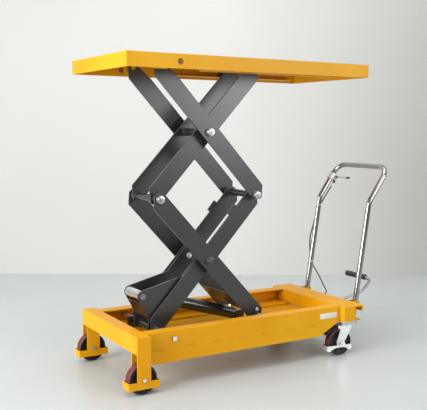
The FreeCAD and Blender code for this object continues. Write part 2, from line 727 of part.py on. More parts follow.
def rear_cross_beam():
    """Channel with end cheeks, handle brackets, pedal ears and a notch over the plunger."""
    target = body("rear_cross_beam")
    face, wall = dims.rear_x, dims.beam_gauge
    low, high = dims.rail_lo, dims.rail_hi
    back, foot_back = face + dims.rear_flange, face + dims.rear_foot
    lip_low = high - dims.rear_lip
    side_plate(target, [
        (face, low), (face, high), (back, high), (back, lip_low), (back - wall, lip_low),
        (back - wall, high - wall), (face + wall, high - wall), (face + wall, low + wall),
        (foot_back, low + wall), (foot_back, low),
    ], [], -dims.beam_y, dims.beam_y * 2)

    cheek = 5
    for y_low in (-dims.beam_y, dims.beam_y - cheek):
        outline = rect(face + 2, face + dims.rear_cheek, low + 2, high - 2)
        side_plate(target, outline, [], y_low, cheek)

    # two cheeks on the lip for each handle foot
    tail, gap = dims.bow_foot_x + 22, dims.bow_rad + 0.4
    outline = [
        (back - 2, lip_low + 1), (back - 2, high), (tail, high - 2), (tail, lip_low - 8),
        (back + 6, lip_low - 8), (back + 2, lip_low + 1),
    ]
    for _, side in SIDES:
        for wing in (1, -1):
            y_low = dims.bow_y * side + span(side * wing, gap, gap + cheek)[0]
            side_plate(target, outline, [(*HANDLE_BOLT, dims.axle_rad)], y_low, cheek)

    x, z = dims.pedal_x, dims.pedal_z
    ear = [(x - 14, low + 3), (x + 14, low + 3), (x + 14, z + 6),
           (x + 6, z + 14), (x - 6, z + 14), (x - 14, z + 6)]
    for y_low in (-62, 24):
        side_plate(target, ear, [(x, z, 8.05)], y_low, 6)

    # notch in the bottom flange over the plunger
    drawing = sketch(target, "XY_Plane", low + wall / 2)
    loop(drawing, rect(x - 1, foot_back + 20, -20, 20))
    pocket(target, drawing, wall + 1)


def tray_floor():
    half = dims.rail_y - dims.skirt_gauge
    flat_plate(body("tray_floor"), rect(dims.bed_start_x, dims.bed_stop_x, -half, half),
               [(*HOSE_PORT, 11)], dims.floor_hi - dims.floor_gauge, dims.floor_gauge)


def blank_label():
    """Thin plate on the outside of the left rail."""
    node("blank_label", box((984, 1084), (-dims.rail_y - 0.6, -dims.rail_y), (188, 213)))


def lower_pivot_brackets():
    x_span = (dims.pivot_x - 30, dims.pivot_x + 32)
    near, far = ARM_OUT - 7, dims.rail_y - dims.rail_track
    made = [cut(
        box(x_span, span(side, near, far), (dims.floor_hi, dims.pivot_z + 16)),
        side_pin(dims.foot_pin_rad, LOW_FRONT, side, near - 1, far + 1)) for _, side in SIDES]
    node("lower_pivot_brackets", group(*made))


def lower_pivot_pins():
    """Pins with a bolt through the rail web and a square nut outside it."""
    web_y, out_y = dims.rail_y - dims.rail_gauge, dims.rail_y
    nut_half = 9.5
    made = [fuse(
        side_pin(dims.foot_pin_rad, LOW_FRONT, side, dims.inner_y - 10, web_y),
        side_pin(dims.axle_rad, LOW_FRONT, side, web_y - 1, out_y + 8),
        box(around(dims.pivot_x, nut_half), span(side, out_y, out_y + 7),
            around(dims.pivot_z, nut_half))) for _, side in SIDES]
    node("lower_pivot_pins", group(*made))


# ================= front wheels
STRAP_GAP_Y = dims.beam_y - 50  # outside face of the inner strap
STRAP_IN = STRAP_GAP_Y - dims.strap_gauge
STRAP_OUT = dims.beam_y + dims.strap_gauge
FRONT_AXLE = (dims.wheel_x, dims.wheel_rad)


def front_wheel_brackets():
    """Outer strap over the beam end, inner strap under the beam and a toe guard ring."""
    strap_x = (dims.beam_x, dims.beam_x + dims.strap_wid)
    guard_x = (strap_x[0] - dims.guard_fore, strap_x[1] + dims.guard_aft)
    guard_z = (dims.strap_lo, dims.strap_lo + dims.guard_hi)
    gauge = dims.strap_gauge
    for name, side in SIDES:
        target = body("front_wheel_bracket_" + name)
        straps = (
            (span(side, dims.beam_y, STRAP_OUT)[0], dims.rail_hi - 2),
            (span(side, STRAP_IN, STRAP_GAP_Y)[0], dims.rail_lo),
        )
        for y_low, top in straps:
            outline = rect(*strap_x, dims.strap_lo, top)
            side_plate(target, outline, [(*FRONT_AXLE, dims.axle_rad)], y_low, gauge)
            side_plate(target, rect(*guard_x, *guard_z), [], y_low, gauge)
        ring = rect(*span(side, STRAP_IN, STRAP_OUT), *guard_z)
        for x_low in (guard_x[0], guard_x[1] - dims.guard_gauge):
            cross_plate(target, ring, x_low, dims.guard_gauge)


def front_axle_bolts():
    head_rad, head, nut = 8, 6, 8
    made = [fuse(
        side_pin(dims.axle_rad, FRONT_AXLE, side, STRAP_IN - nut, STRAP_OUT + 1),
        side_pin(head_rad, FRONT_AXLE, side, STRAP_OUT, STRAP_OUT + head),
        side_pin(head_rad, FRONT_AXLE, side, STRAP_IN - nut, STRAP_IN)) for _, side in SIDES]
    node("front_axle_bolts", group(*made))


def wheel_profile(hub_half):
    """Wheel section (radius, across), symmetric about the middle of the wheel."""
    face, web = dims.wheel_wid / 2, dims.web_wid / 2
    rim, core, hub = dims.wheel_rad, dims.core_rad, dims.hub_rad
    half = [
        (dims.axle_bush, hub_half), (hub, hub_half), (hub, web), (core - 7, web),
        (core - 5, face - 3), (core + 1, face), (rim - 4, face), (rim - 1, face - 4),
        (rim, face - 9),
    ]
    return [(radius, -y) for radius, y in half] + half[::-1]


def front_wheels():
    profile = wheel_profile(dims.hub_wid / 2)
    for name, side in SIDES:
        y = dims.wheel_y * side
        spin_body("front_wheel_" + name, profile, dims.wheel_x, y, dims.wheel_rad)


# ================= hydraulic cylinder
AXIS_X, AXIS_Z = LEVER_TIP[0] - dims.base_x, LEVER_TIP[1] - dims.base_z
AXIS_LEN = math.hypot(AXIS_X.value, AXIS_Z.value)
AXIS_TURN = Rotation(Vector(0, 0, 1), Vector(AXIS_X.value, 0, AXIS_Z.value))
BASE_PIN = (dims.base_x, dims.base_z)


def along_axis(radius, start, length):
    """Cylinder on the hydraulic axis, measured from the base pin towards the lever tip."""
    start = Size.of(start)
    x = dims.base_x + start * (AXIS_X / AXIS_LEN)
    z = dims.base_z + start * (AXIS_Z / AXIS_LEN)
    return rod(radius, AXIS_TURN, x, 0, z, length)


def cylinder_barrel():
    start, end, gland = dims.barrel_from, dims.barrel_to, dims.gland_len
    bore_start = start + 12
    neck_rad, lug_half = 15, 14
    solid = fuse(
        along_axis(dims.barrel_rad, start, end - start),
        along_axis(dims.gland_rad, end - gland, gland),
        along_axis(neck_rad, 0, start + 1),
        across(dims.lug_rad, BASE_PIN, -lug_half, lug_half))
    node("cylinder_barrel", cut(
        solid,
        along_axis(dims.bore_rad, bore_start, end - gland - bore_start),
        along_axis(dims.rod_bush, bore_start, end),
        across(dims.lug_bore, BASE_PIN, -lug_half - 1, lug_half + 1)))


def piston_rod():
    start = AXIS_LEN - dims.rod_len
    half = dims.cross_half
    solid = fuse(
        along_axis(dims.rod_rad, start, dims.rod_len - 12),
        along_axis(dims.piston_rad, start, 22),
        across(dims.cross_rad, LEVER_TIP, -half, half))
    bore = across(dims.foot_bush_rad, LEVER_TIP, -half - 1, half + 1)
    node("piston_rod", cut(solid, bore))


def cylinder_base_bracket():
    """Base plate, two round-topped cheeks and the pin between them."""
    x, floor = dims.base_x, dims.floor_hi
    cheek_in, cheek_out = 17, 25
    made = [box(around(x, 34), (-34, 34), (floor, floor + 4))]
    for y_span in ((cheek_in, cheek_out), (-cheek_out, -cheek_in)):
        made.append(box(around(x, 22), y_span, (floor + 3, dims.base_z + 6)))
        made.append(across(20, (x, dims.base_z + 2), *y_span))
    made.append(across(dims.base_pin_rad, BASE_PIN, -31, 31))
    # the tool meets the underside of the base plate
    below = box(around(x, 60), (-cheek_in, cheek_in), (floor - 30, floor))
    node("cylinder_base_bracket", cut(fuse(*made), below))


# ================= pump and pedal
PEDAL = (dims.pedal_x, dims.pedal_z)
GRIP = (dims.grip_x, dims.grip_z)


def pump_and_tank():
    face, tank_z = dims.pump_x, 112
    y_span = (-dims.pump_wid / 2, dims.pump_wid / 2)
    solid = fuse(
        box((face, face + dims.pump_len), y_span, (dims.pump_lo, dims.pump_hi)),
        box((face - 12, dims.pedal_x), y_span, (dims.pump_hi - 1, dims.rail_lo)),
        rod(dims.tank_rad, "x", face - dims.tank_len, 0, tank_z, dims.tank_len + 1),
        rod(dims.tank_rad + 3, "x", face - 10, 0, tank_z, 11),
        rod(6, "y", face + 40, 44, 118, 12))
    bore = rod(dims.plunger_rad + 0.05, "z", dims.plunger_x, 0, dims.pump_lo + 20, 200)
    node("pump_and_tank", cut(solid, bore))


def hydraulic_hose():
    """From the pump along under the tray, then up through the floor to the cylinder."""
    stations = [
        (1115.9, 42, 110, 0), (1090, 42, 110, 8), (1070, 44, 140, 18), (*HOSE_PORT, 140, 14),
        (*HOSE_PORT, 196, 14), (716, 24, 202, 0),
    ]
    node("hydraulic_hose", swept(stations, dims.hose_rad))


def foot_pedal_lever():
    """Bent rod, cross shaft and the cam arm over the plunger."""
    bent_rod = swept([
        (dims.pedal_x, -84, dims.pedal_z, 0), (1266, -84, 220, 50), (1386, -84, 245, 50),
        (1441, -88, 296, 13), (dims.grip_x, -88, dims.grip_z, 12),
        (dims.grip_x, dims.grip_half, dims.grip_z, 0),
    ], dims.pedal_rad)
    shaft = across(8, PEDAL, -92, 36)
    cam = box((dims.pedal_x, dims.pedal_x + 38), (-9, 9), around(dims.pedal_z, 6))
    node("foot_pedal_lever", fuse(bent_rod, shaft, cam))


def foot_pedal_grip():
    half = dims.grip_half
    node("foot_pedal_grip", cut(
        across(dims.grip_rad, GRIP, -half, half),
        across(dims.pedal_rad, GRIP, -half - 1, half + 1)))


def pump_plunger():
    bottom, top = dims.pump_lo + 40, dims.pedal_z - 7.5
    node("pump_plunger", rod(dims.plunger_rad, "z", dims.plunger_x, 0, bottom, top - bottom))


# ================= handle
def handle_bow():
    """Bent tube with a bolt hole in each foot."""
    left_side = (
        (dims.bow_foot_x, dims.bow_foot_z, 0),
        (dims.bow_knee_x, dims.bow_knee_z, dims.bow_knee_bend),
        (dims.bow_top_x, dims.bow_top_z, dims.bow_bend),
    )
    stations = [(x, -dims.bow_y, z, bend) for x, z, bend in left_side]
    stations += [(x, dims.bow_y, z, bend) for x, z, bend in reversed(left_side)]
    bow = cut(swept(stations, dims.bow_rad), swept(stations, dims.bow_bore))
    for _, side in SIDES:
        bow = cut(bow, across(dims.axle_rad, HANDLE_BOLT, *around(dims.bow_y * side, 20)))
    node("handle_bow", bow)


def handle_bolts():
    head_rad, head_in, head_out = 9, 18.9, 25.9
    made = []
    for _, side in SIDES:
        y = dims.bow_y * side
        made.append(fuse(
            across(dims.axle_rad, HANDLE_BOLT, *around(y, 25)),
            across(head_rad, HANDLE_BOLT, y - head_out, y - head_in),
            across(head_rad, HANDLE_BOLT, y + head_in, y + head_out)))
    node("handle_bolts", group(*made))


# The release clamp and lever are drawn about the clamp centre, with Z up the right handle tube.
def tube_box(x_span, y_span, z_span):
    return box(x_span, y_span, z_span, shift=False)


def tube_pin(radius, at, low, high):
    return across(radius, at, low, high, shift=False)


def on_tube(label, obj):
    """Seat a finished piece on the handle tube."""
    run = dims.bow_top_x - dims.bow_knee_x
    climb = dims.bow_top_z - dims.bow_knee_z
    lean = math.degrees(math.atan2(run.value, climb.value))
    doc.recompute()
    seated = doc.addObject("Part::Feature", "Seated")
    seated.Shape = obj.Shape
    rotation = Rotation(Vector(0, 1, 0), lean)
    node(label, place(seated, dims.clamp_x, dims.bow_y, dims.clamp_z, rotation))


HINGE = (dims.blade_off, 0)


def release_clamp():
    """Collar round the tube, with two ears and the hinge pin."""
    half = dims.clamp_half
    ear_x = (12, dims.blade_off + 5)
    solid = fuse(
        rod(dims.clamp_rad, "z", 0, 0, -half, half * 2, shift=False),
        tube_box(ear_x, (4.3, 9), (-8, 8)),
        tube_box(ear_x, (-9, -4.3), (-8, 8)),
        tube_pin(2.5, HINGE, -9, 9))
    bore = rod(dims.bow_rad + 0.15, "z", 0, 0, -40, 80, shift=False)
    on_tube("release_clamp", cut(solid, bore))


def release_lever():
    """Blade with wider ends, and the finger rod with its thicker tip."""
    off, reach = dims.blade_off, dims.finger_len
    end_x = (off - 1, off + 4)
    finger_at = (off + 1.5, dims.blade_len - 6)
    solid = fuse(
        tube_box((off - 4, off + 5), (-4, 4), (-14, 14)),
        tube_box(end_x, (-8, 8), (11, dims.blade_len)),
        tube_box(end_x, (-8, 8), (-dims.blade_low, -11)),
        tube_pin(3, finger_at, 8 - reach, 8),
        tube_pin(5.5, finger_at, -reach, 20 - reach))
    on_tube("release_lever", cut(solid, tube_pin(2.55, HINGE, -9, 9)))


def release_cable():
    """From the release lever down the right handle tube to the pump."""
    stations = [
        (1413, 200, 784, 0), (1338, 208, 676, 50), (1318, 221, 620, 60), (1276, 216, 500, 60),
        (1281, 220, 376, 60), (1316, 190, 300, 40), (1322, 120, 215, 28), (1216, 60, 180, 40),
        (1204.5, 34, 120, 0),
    ]
    node("release_cable", swept(stations, dims.cable_rad))


# ================= castors
CROWN_TOP = dims.crown_lo + dims.crown_gauge
FORK_OUT = dims.fork_in + dims.fork_gauge
CASTOR_AXLE = (-dims.trail, dims.wheel_rad)  # x, z in the fork frame
CASTOR_HUB_HALF = 22.2
# fork outlines (x, z) about the swivel axis
FORK_LEG = [
    (16, CROWN_TOP - 1), (16, dims.crown_lo - 6), (-24, 66), (-18, 52), (-dims.trail + 18, 48),
    (-dims.trail - 18, 48), (-dims.trail - 21, 66), (-46, 127), (-58, 131), (-60, 143),
    (-56, CROWN_TOP - 1),
]
FORK_GUARD = [
    (-118, 50), (-118, 30), (-112, 24), (-103, 24), (-90, 33), (-70, 39), (-35, 40),
    (-14, 35), (-3, 25), (8, 25), (16, 31), (16, 50),
]
BRAKE = [
    (-54, 141), (-50, 137), (-50, 133), (-60, 129.5), (-100, 118), (-116, 100), (-119, 102),
    (-104, 121.5), (-62, 135),
]


def castor_top_plates():
    """Plates under the rear beam with race, kingpin, its nut and four round bolt heads each."""
    x, low = dims.castor_x, dims.crown_lo
    plate_low = dims.rail_lo - dims.plate_gauge
    race_low = CROWN_TOP + 7.2
    made = []
    for _, side in SIDES:
        y = dims.castor_y * side
        made.append(fuse(
            box(around(x, dims.plate_len / 2), around(y, dims.plate_wid / 2),
                (plate_low, dims.rail_lo)),
            rod(dims.race_rad, "z", x, y, race_low, plate_low - race_low),
            rod(dims.king_rad, "z", x, y, low - 5, dims.rail_lo - low),
            rod(13, "z", x, y, low - 7, 6.8)))
        for bolt_x in (-40, 40):
            for bolt_y in (-32, 32):
                made.append(rod(7, "z", x + bolt_x, y + bolt_y, plate_low - 6, 6))
    node("castor_top_plates", group(*made))


def castor_fork(label, y, turn):
    """Crown, race, two legs with low guards joined by a bar, and the axle with its heads."""
    target = body(label, dims.castor_x, y, 0, turn)
    crown = [(-40, -FORK_OUT), (24, -FORK_OUT), (34, -14), (34, 14), (24, FORK_OUT),
             (-40, FORK_OUT)]
    king_hole = (0, 0, dims.king_bush)
    flat_plate(target, crown, [king_hole], dims.crown_lo, dims.crown_gauge)
    flat_plate(target, [], [(0, 0, dims.race_rad), king_hole], CROWN_TOP - 1, 8)
    for y_low in (-FORK_OUT, dims.fork_in):
        axle_hole = (*CASTOR_AXLE, dims.axle_rad)
        side_plate(target, FORK_LEG, [axle_hole], y_low, dims.fork_gauge)
        side_plate(target, FORK_GUARD, [], y_low, dims.fork_gauge)
    cross_plate(target, rect(-FORK_OUT, FORK_OUT, 27, 50), -121, 4)
    axle_half = FORK_OUT + 6
    side_plate(target, [], [(*CASTOR_AXLE, dims.axle_rad)], -axle_half, axle_half * 2)
    for y_low in (-FORK_OUT - 5, FORK_OUT):
        side_plate(target, [], [(*CASTOR_AXLE, 9.5)], y_low, 5)


def castor_wheel(label, y, yaw, turn):
    spin_body(label, wheel_profile(CASTOR_HUB_HALF), dims.castor_x - dims.trail * cosine(yaw),
              y - dims.trail * sine(yaw), dims.wheel_rad, turn)


def castor_brake(label, y, turn):
    """Pedal plate and the cross pin between the fork legs."""
    target = body(label, dims.castor_x, y, 0, turn)
    side_plate(target, BRAKE, [], -15, 30)
    pin_half = dims.fork_in - 0.1
    side_plate(target, [], [(-53, 138, 3)], -pin_half, pin_half * 2)


def castors():
    for (name, side), yaw in zip(SIDES, (dims.yaw_left, dims.yaw_right)):
        y = dims.castor_y * side
        turn = Rotation(Vector(0, 0, 1), yaw.value)
        castor_fork("castor_fork_" + name, y, turn)
        castor_wheel("castor_wheel_" + name, y, yaw, turn)
        castor_brake("castor_brake_" + name, y, turn)


# ================= build, check and write
for build in (
    scissor_arms, cross_tubes, scissor_shafts, lever_plates, lever_wrap_plate,
    lower_outer_tie_plate, lower_roller_axles, rollers,
    platform_deck, platform_roller_rails, upper_pivot_brackets,
    side_rails, skirt_plates, front_cross_beam, rear_cross_beam, tray_floor, blank_label,
    lower_pivot_brackets, lower_pivot_pins,
    front_wheel_brackets, front_axle_bolts, front_wheels,
    cylinder_barrel, piston_rod, cylinder_base_bracket,
    pump_and_tank, hydraulic_hose, foot_pedal_lever, foot_pedal_grip, pump_plunger,
    handle_bow, handle_bolts, release_clamp, release_lever, release_cable,
    castor_top_plates, castors,
):
    build()

doc.recompute()
bad = []
for obj in doc.Objects:
    if any(word in ("Invalid", "Error") for word in obj.State):
        bad.append("%s (%s): %s" % (obj.Name, obj.Label, obj.State))
for label, obj in NODES.items():
    if obj.Shape.isNull():
        bad.append(label + ": null shape")
    elif not obj.Shape.isValid():
        bad.append(label + ": invalid shape")
    elif not obj.Shape.Solids:
        bad.append(label + ": no solid")
if bad:
    raise RuntimeError("\n".join(bad))

os.makedirs("parts", exist_ok=True)
for label, obj in NODES.items():
    obj.Shape.exportStep(os.path.join("parts", label + ".step"))
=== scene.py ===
# A mobile hydraulic lift table: wheeled bed, two scissor stages, platform, pump and push handle.
# Its length lies along x with the handle at +x; left is -y, right is +y; the floor is at z = 0.
# The CAD pieces are dressed with materials, and wheels, fasteners, welds and hoses are built on.
import itertools
import json
import math

import bmesh
import bpy
from mathutils import Matrix, Vector, noise


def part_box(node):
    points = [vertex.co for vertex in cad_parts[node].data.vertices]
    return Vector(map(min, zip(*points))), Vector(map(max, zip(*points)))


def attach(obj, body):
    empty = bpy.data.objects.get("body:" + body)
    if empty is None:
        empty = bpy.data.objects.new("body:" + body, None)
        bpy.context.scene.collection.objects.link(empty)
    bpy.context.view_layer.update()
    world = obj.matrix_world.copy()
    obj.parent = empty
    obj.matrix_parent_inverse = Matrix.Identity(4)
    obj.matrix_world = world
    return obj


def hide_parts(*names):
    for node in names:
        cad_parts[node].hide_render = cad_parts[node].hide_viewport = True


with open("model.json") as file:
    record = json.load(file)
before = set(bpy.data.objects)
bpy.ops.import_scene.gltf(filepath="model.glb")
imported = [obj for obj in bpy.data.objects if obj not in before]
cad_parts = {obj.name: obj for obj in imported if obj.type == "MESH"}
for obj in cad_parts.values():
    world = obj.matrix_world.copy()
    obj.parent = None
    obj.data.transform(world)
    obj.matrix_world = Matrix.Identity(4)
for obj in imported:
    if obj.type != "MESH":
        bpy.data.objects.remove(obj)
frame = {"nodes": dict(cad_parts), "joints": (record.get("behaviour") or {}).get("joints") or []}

scene = bpy.context.scene
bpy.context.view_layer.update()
NODES = frame["nodes"]
JOINT = {joint["name"]: joint for joint in frame["joints"]}
SIDES = (("left", -1), ("right", 1))
CENTRE_X = 729.5  # the drawing's x of the table's middle, mm


def at(x, y, z):
    """A point of the drawing (mm, x from the platform's -x end) in the frame (m)."""
    return Vector(((x - CENTRE_X) / 1000, y / 1000, z / 1000))


def pivot(name):
    return Vector(JOINT[name]["pos_m"])


# ------------------------------------------------------------------ shader tools
class Shader:
    """Adds and links the nodes of one tree. Values may be numbers, colours or sockets."""

    def __init__(self, tree):
        self.tree = tree
        tree.nodes.clear()

    def plug(self, socket, value):
        if isinstance(value, bpy.types.NodeSocket):
            self.tree.links.new(value, socket)
        elif socket.type == "RGBA":
            socket.default_value = (*value, 1.0)
        else:
            socket.default_value = value

    def feed(self, node, **inputs):
        for name, value in inputs.items():
            self.plug(node.inputs[name.replace("_", " ")], value)

    def add(self, kind, **inputs):
        node = self.tree.nodes.new(kind)
        self.feed(node, **inputs)
        return node

    def calc(self, operation, *values, clamp=False):
        node = self.add("ShaderNodeMath")
        node.operation = operation
        node.use_clamp = clamp
        for socket, value in zip(node.inputs, values):
            self.plug(socket, value)
        return node.outputs["Value"]

    def scaled(self, value, by, plus=None, clamp=False):
        """value * by, or value * by + plus."""
        if plus is None:
            return self.calc("MULTIPLY", value, by, clamp=clamp)
        return self.calc("ADD", self.calc("MULTIPLY", value, by), plus, clamp=clamp)

    def raised(self, value, mask, by, clamp=False):
        """value + mask * by."""
        return self.calc("ADD", value, self.calc("MULTIPLY", mask, by), clamp=clamp)

    def dot(self, first, second):
        node = self.add("ShaderNodeVectorMath")
        node.operation = "DOT_PRODUCT"
        self.plug(node.inputs[0], first)
        self.plug(node.inputs[1], second)
        return node.outputs["Value"]

    def mix(self, under, over, mask, amount=None, blend="MIX"):
        """Lays one colour over another where the mask, times the amount, is white."""
        if amount is not None:
            mask = self.calc("MULTIPLY", mask, amount)
        node = self.add("ShaderNodeMix")
        node.data_type = "RGBA"
        node.blend_type = blend
        # sockets 6 and 7 are the two colours, output 2 the colour result
        for index, value in ((0, mask), (6, under), (7, over)):
            self.plug(node.inputs[index], value)
        return node.outputs[2]

    def ramp(self, value, *stops):
        """Linear colour ramp through stops of (position, colour)."""
        node = self.add("ShaderNodeValToRGB", Fac=value)
        elements = node.color_ramp.elements
        while len(elements) > 1:
            elements.remove(elements[-1])
        elements[0].position = stops[0][0]
        elements[0].color = (*stops[0][1], 1.0)
        for position, colour in stops[1:]:
            elements.new(position).color = (*colour, 1.0)
        return node.outputs["Color"]

    def mask(self, value, start, full, low=0.0):
        """Grey that is `low` up to start and white from full on."""
        return self.ramp(value, (start, (low, low, low)), (full, (1.0, 1.0, 1.0)))


class Paint(Shader):
    """A material with a Principled surface, textured in object coordinates."""

    def __init__(self, name):
        self.material = bpy.data.materials.new(name)
        self.material.use_nodes = True
        super().__init__(self.material.node_tree)
        self.output = self.add("ShaderNodeOutputMaterial")
        self.surface = self.add("ShaderNodeBsdfPrincipled")
        self.feed(self.output, Surface=self.surface.outputs["BSDF"])
        self.coords = self.add("ShaderNodeTexCoord").outputs["Object"]
        self.normal = None

    def set(self, **inputs):
        self.feed(self.surface, **inputs)

    def stretch(self, scale, turn=(0, 0, 0)):
        node = self.add("ShaderNodeMapping", Vector=self.coords, Scale=scale, Rotation=turn)
        return node.outputs["Vector"]

    def noise(self, scale, detail=3.0, rough=0.55, warp=0.0, coords=None):
        node = self.add("ShaderNodeTexNoise", Vector=coords or self.coords, Scale=scale,
                        Detail=detail, Roughness=rough, Distortion=warp)
        return node.outputs["Fac"]

    def edges(self, radius=0.0016, gain=6.0):
        """White where an outside edge is near."""
        bevel = self.add("ShaderNodeBevel", Radius=radius)
        bevel.samples = 4
        geometry = self.add("ShaderNodeNewGeometry")
        same = self.dot(bevel.outputs["Normal"], geometry.outputs["Normal"])
        return self.scaled(self.calc("SUBTRACT", 1.0, same), by=gain, clamp=True)

    def corners(self, distance=0.02):
        """White in inside corners, from ambient occlusion: the mask of painted corner shade and
        soiling.
        """
        occlusion = self.add("ShaderNodeAmbientOcclusion", Distance=distance)
        occlusion.samples = 6
        return self.calc("SUBTRACT", 1.0, occlusion.outputs["AO"], clamp=True)

    def facing_up(self):
        geometry = self.add("ShaderNodeNewGeometry")
        normal = self.add("ShaderNodeSeparateXYZ", Vector=geometry.outputs["Normal"])
        return self.calc("MAXIMUM", normal.outputs["Z"], 0.0)

    def bump(self, height, strength, distance):
        """Adds a bump on top of the earlier ones."""
        node = self.add("ShaderNodeBump", Height=height, Strength=strength, Distance=distance)
        if self.normal is not None:
            self.feed(node, Normal=self.normal)
        self.normal = node.outputs["Normal"]
        self.set(Normal=self.normal)


# ------------------------------------------------------------------ materials
def powder_coat(name, base, deep, pale, chip, soil_and_shade, rough, coat, spec, soil_and_shade_gain, wear, peel):
    """Baked powder paint: tone drift, orange peel, soiling and painted shade in corners, scuffs,
    chipped edges.
    """
    paint = Paint(name)
    drift = paint.noise(scale=2.3, detail=4.0)
    tone = paint.ramp(drift, (0.30, deep), (0.55, base), (0.75, pale))
    cloud = paint.noise(scale=28.0, detail=5.0, rough=0.6)
    tone = paint.mix(tone, deep, cloud, amount=0.10)
    speck = paint.mask(paint.noise(scale=420.0, detail=2.0), start=0.66, full=0.74)
    tone = paint.mix(tone, pale, speck, amount=0.12)
    # long handling scuffs, in patches
    along = paint.stretch(scale=(9.0, 9.0, 140.0), turn=(0.3, 0.5, 0.2))
    streak = paint.noise(scale=3.0, detail=5.0, rough=0.7, warp=0.4, coords=along)
    streak = paint.mask(streak, start=0.63, full=0.70)
    patch = paint.mask(paint.noise(scale=5.0, detail=2.0), start=0.48, full=0.66)
    scuff = paint.calc("MULTIPLY", streak, patch)
    tone = paint.mix(tone, pale, scuff, amount=0.22)
    # soiling and painted shade in inside corners: ambient occlusion mottled by noise, darker
    # than the paint on the yellow
    corner_mottle = paint.scaled(paint.noise(scale=60.0, detail=4.0), by=soil_and_shade_gain)
    soil_and_corner_shade = paint.calc("MULTIPLY", paint.corners(), corner_mottle, clamp=True)
    tone = paint.mix(tone, soil_and_shade, soil_and_corner_shade)
    # rubbed and chipped outside edges
    edge = paint.edges()
    nicks = paint.mask(paint.noise(scale=95.0, detail=4.0, rough=0.7), start=0.56, full=0.62)
    chips = paint.calc("MULTIPLY", edge, nicks)
    tone = paint.mix(tone, pale, edge, amount=0.30)
    tone = paint.mix(tone, chip, chips, amount=wear)
    blotch = paint.noise(scale=35.0, detail=4.0)
    roughness = paint.scaled(blotch, by=0.16, plus=rough - 0.08)
    roughness = paint.raised(roughness, scuff, by=0.14)
    roughness = paint.raised(roughness, soil_and_corner_shade, by=0.3, clamp=True)
    paint.set(Base_Color=tone, Roughness=roughness, Coat_Weight=coat, Coat_Roughness=0.18,
              Specular_IOR_Level=spec)
    paint.bump(paint.noise(scale=7.0, detail=2.0), strength=0.10, distance=0.004)
    fine_peel = paint.noise(scale=520.0, detail=2.0, rough=0.5)
    paint.bump(fine_peel, strength=peel, distance=0.0006)
    paint.bump(chips, strength=-0.25, distance=0.0004)
    return paint.material


def metal(name, base, tint, stain_and_shade, rough, spread, grain, metallic=1.0, fine=0.10, shine=0.35):
    """Bare or plated metal: tone drift, grain, smudges, stains, painted shade in inside corners
    and polished edges.

    spread is the smudges' extra roughness, grain the grain's scale, fine its bump strength
    and shine the brightness of the edges.
    """
    paint = Paint(name)
    drift = paint.noise(scale=14.0, detail=5.0, rough=0.6)
    tone = paint.ramp(drift, (0.35, tint), (0.62, base))
    unstretched = paint.stretch(scale=(1, 1, 1))
    grains = paint.noise(scale=grain, detail=4.0, rough=0.6, coords=unstretched)
    tone = paint.mix(tone, tint, grains, amount=0.12)
    edge = paint.edges(radius=0.0010, gain=5.0)
    bright = [min(1.0, channel * 1.25 + 0.05) for channel in base]
    tone = paint.mix(tone, bright, edge, amount=shine)
    smudge = paint.noise(scale=22.0, detail=4.0, rough=0.65, warp=0.6)
    smudge = paint.mask(smudge, start=0.45, full=0.70)
    spots = paint.mask(paint.noise(scale=150.0, detail=3.0, rough=0.7), start=0.64, full=0.72)
    # spots of staining, plus painted shade in inside corners from ambient occlusion
    soil_and_corner_shade = paint.scaled(spots, by=0.35, plus=paint.corners(distance=0.008), clamp=True)
    tone = paint.mix(tone, stain_and_shade, soil_and_corner_shade, amount=0.6)
    roughness = paint.raised(rough, smudge, by=spread)
    roughness = paint.raised(roughness, grains, by=0.05)
    paint.set(Base_Color=tone, Roughness=roughness, Metallic=metallic)
    paint.bump(grains, strength=fine, distance=0.0003)
    return paint.material


def soft(name, base, pale, scuff, rough, scale, strength, scuffing, subsurface=0.0, dust=0.0):
    """Rubber, plastic or polyurethane: moulded texture, scuffs and a little dust.

    scale and strength are those of the moulded texture.
    """
    paint = Paint(name)
    drift = paint.noise(scale=30.0, detail=5.0, rough=0.6)
    tone = paint.ramp(drift, (0.35, base), (0.72, pale))
    along = paint.stretch(scale=(1, 6, 1))
    marks = paint.noise(scale=55.0, detail=5.0, rough=0.7, warp=1.0, coords=along)
    marks = paint.scaled(paint.mask(marks, start=0.55, full=0.64), by=scuffing)
    tone = paint.mix(tone, scuff, marks)
    if dust:
        tone = paint.mix(tone, (0.55, 0.52, 0.48), paint.facing_up(), amount=dust)
    blotch = paint.noise(scale=40.0, detail=3.0)
    roughness = paint.scaled(blotch, by=0.2, plus=rough - 0.08)
    roughness = paint.calc("ADD", roughness, marks, clamp=True)
    paint.set(Base_Color=tone, Roughness=roughness)
    if subsurface:
        paint.set(Subsurface_Weight=subsurface, Subsurface_Radius=(0.004, 0.001, 0.001),
                  Subsurface_Scale=1.0)
    moulding = paint.noise(scale=scale, detail=3.0, rough=0.6)
    paint.bump(moulding, strength=strength, distance=0.0005)
    paint.bump(marks, strength=0.2, distance=0.0003)
    return paint.material


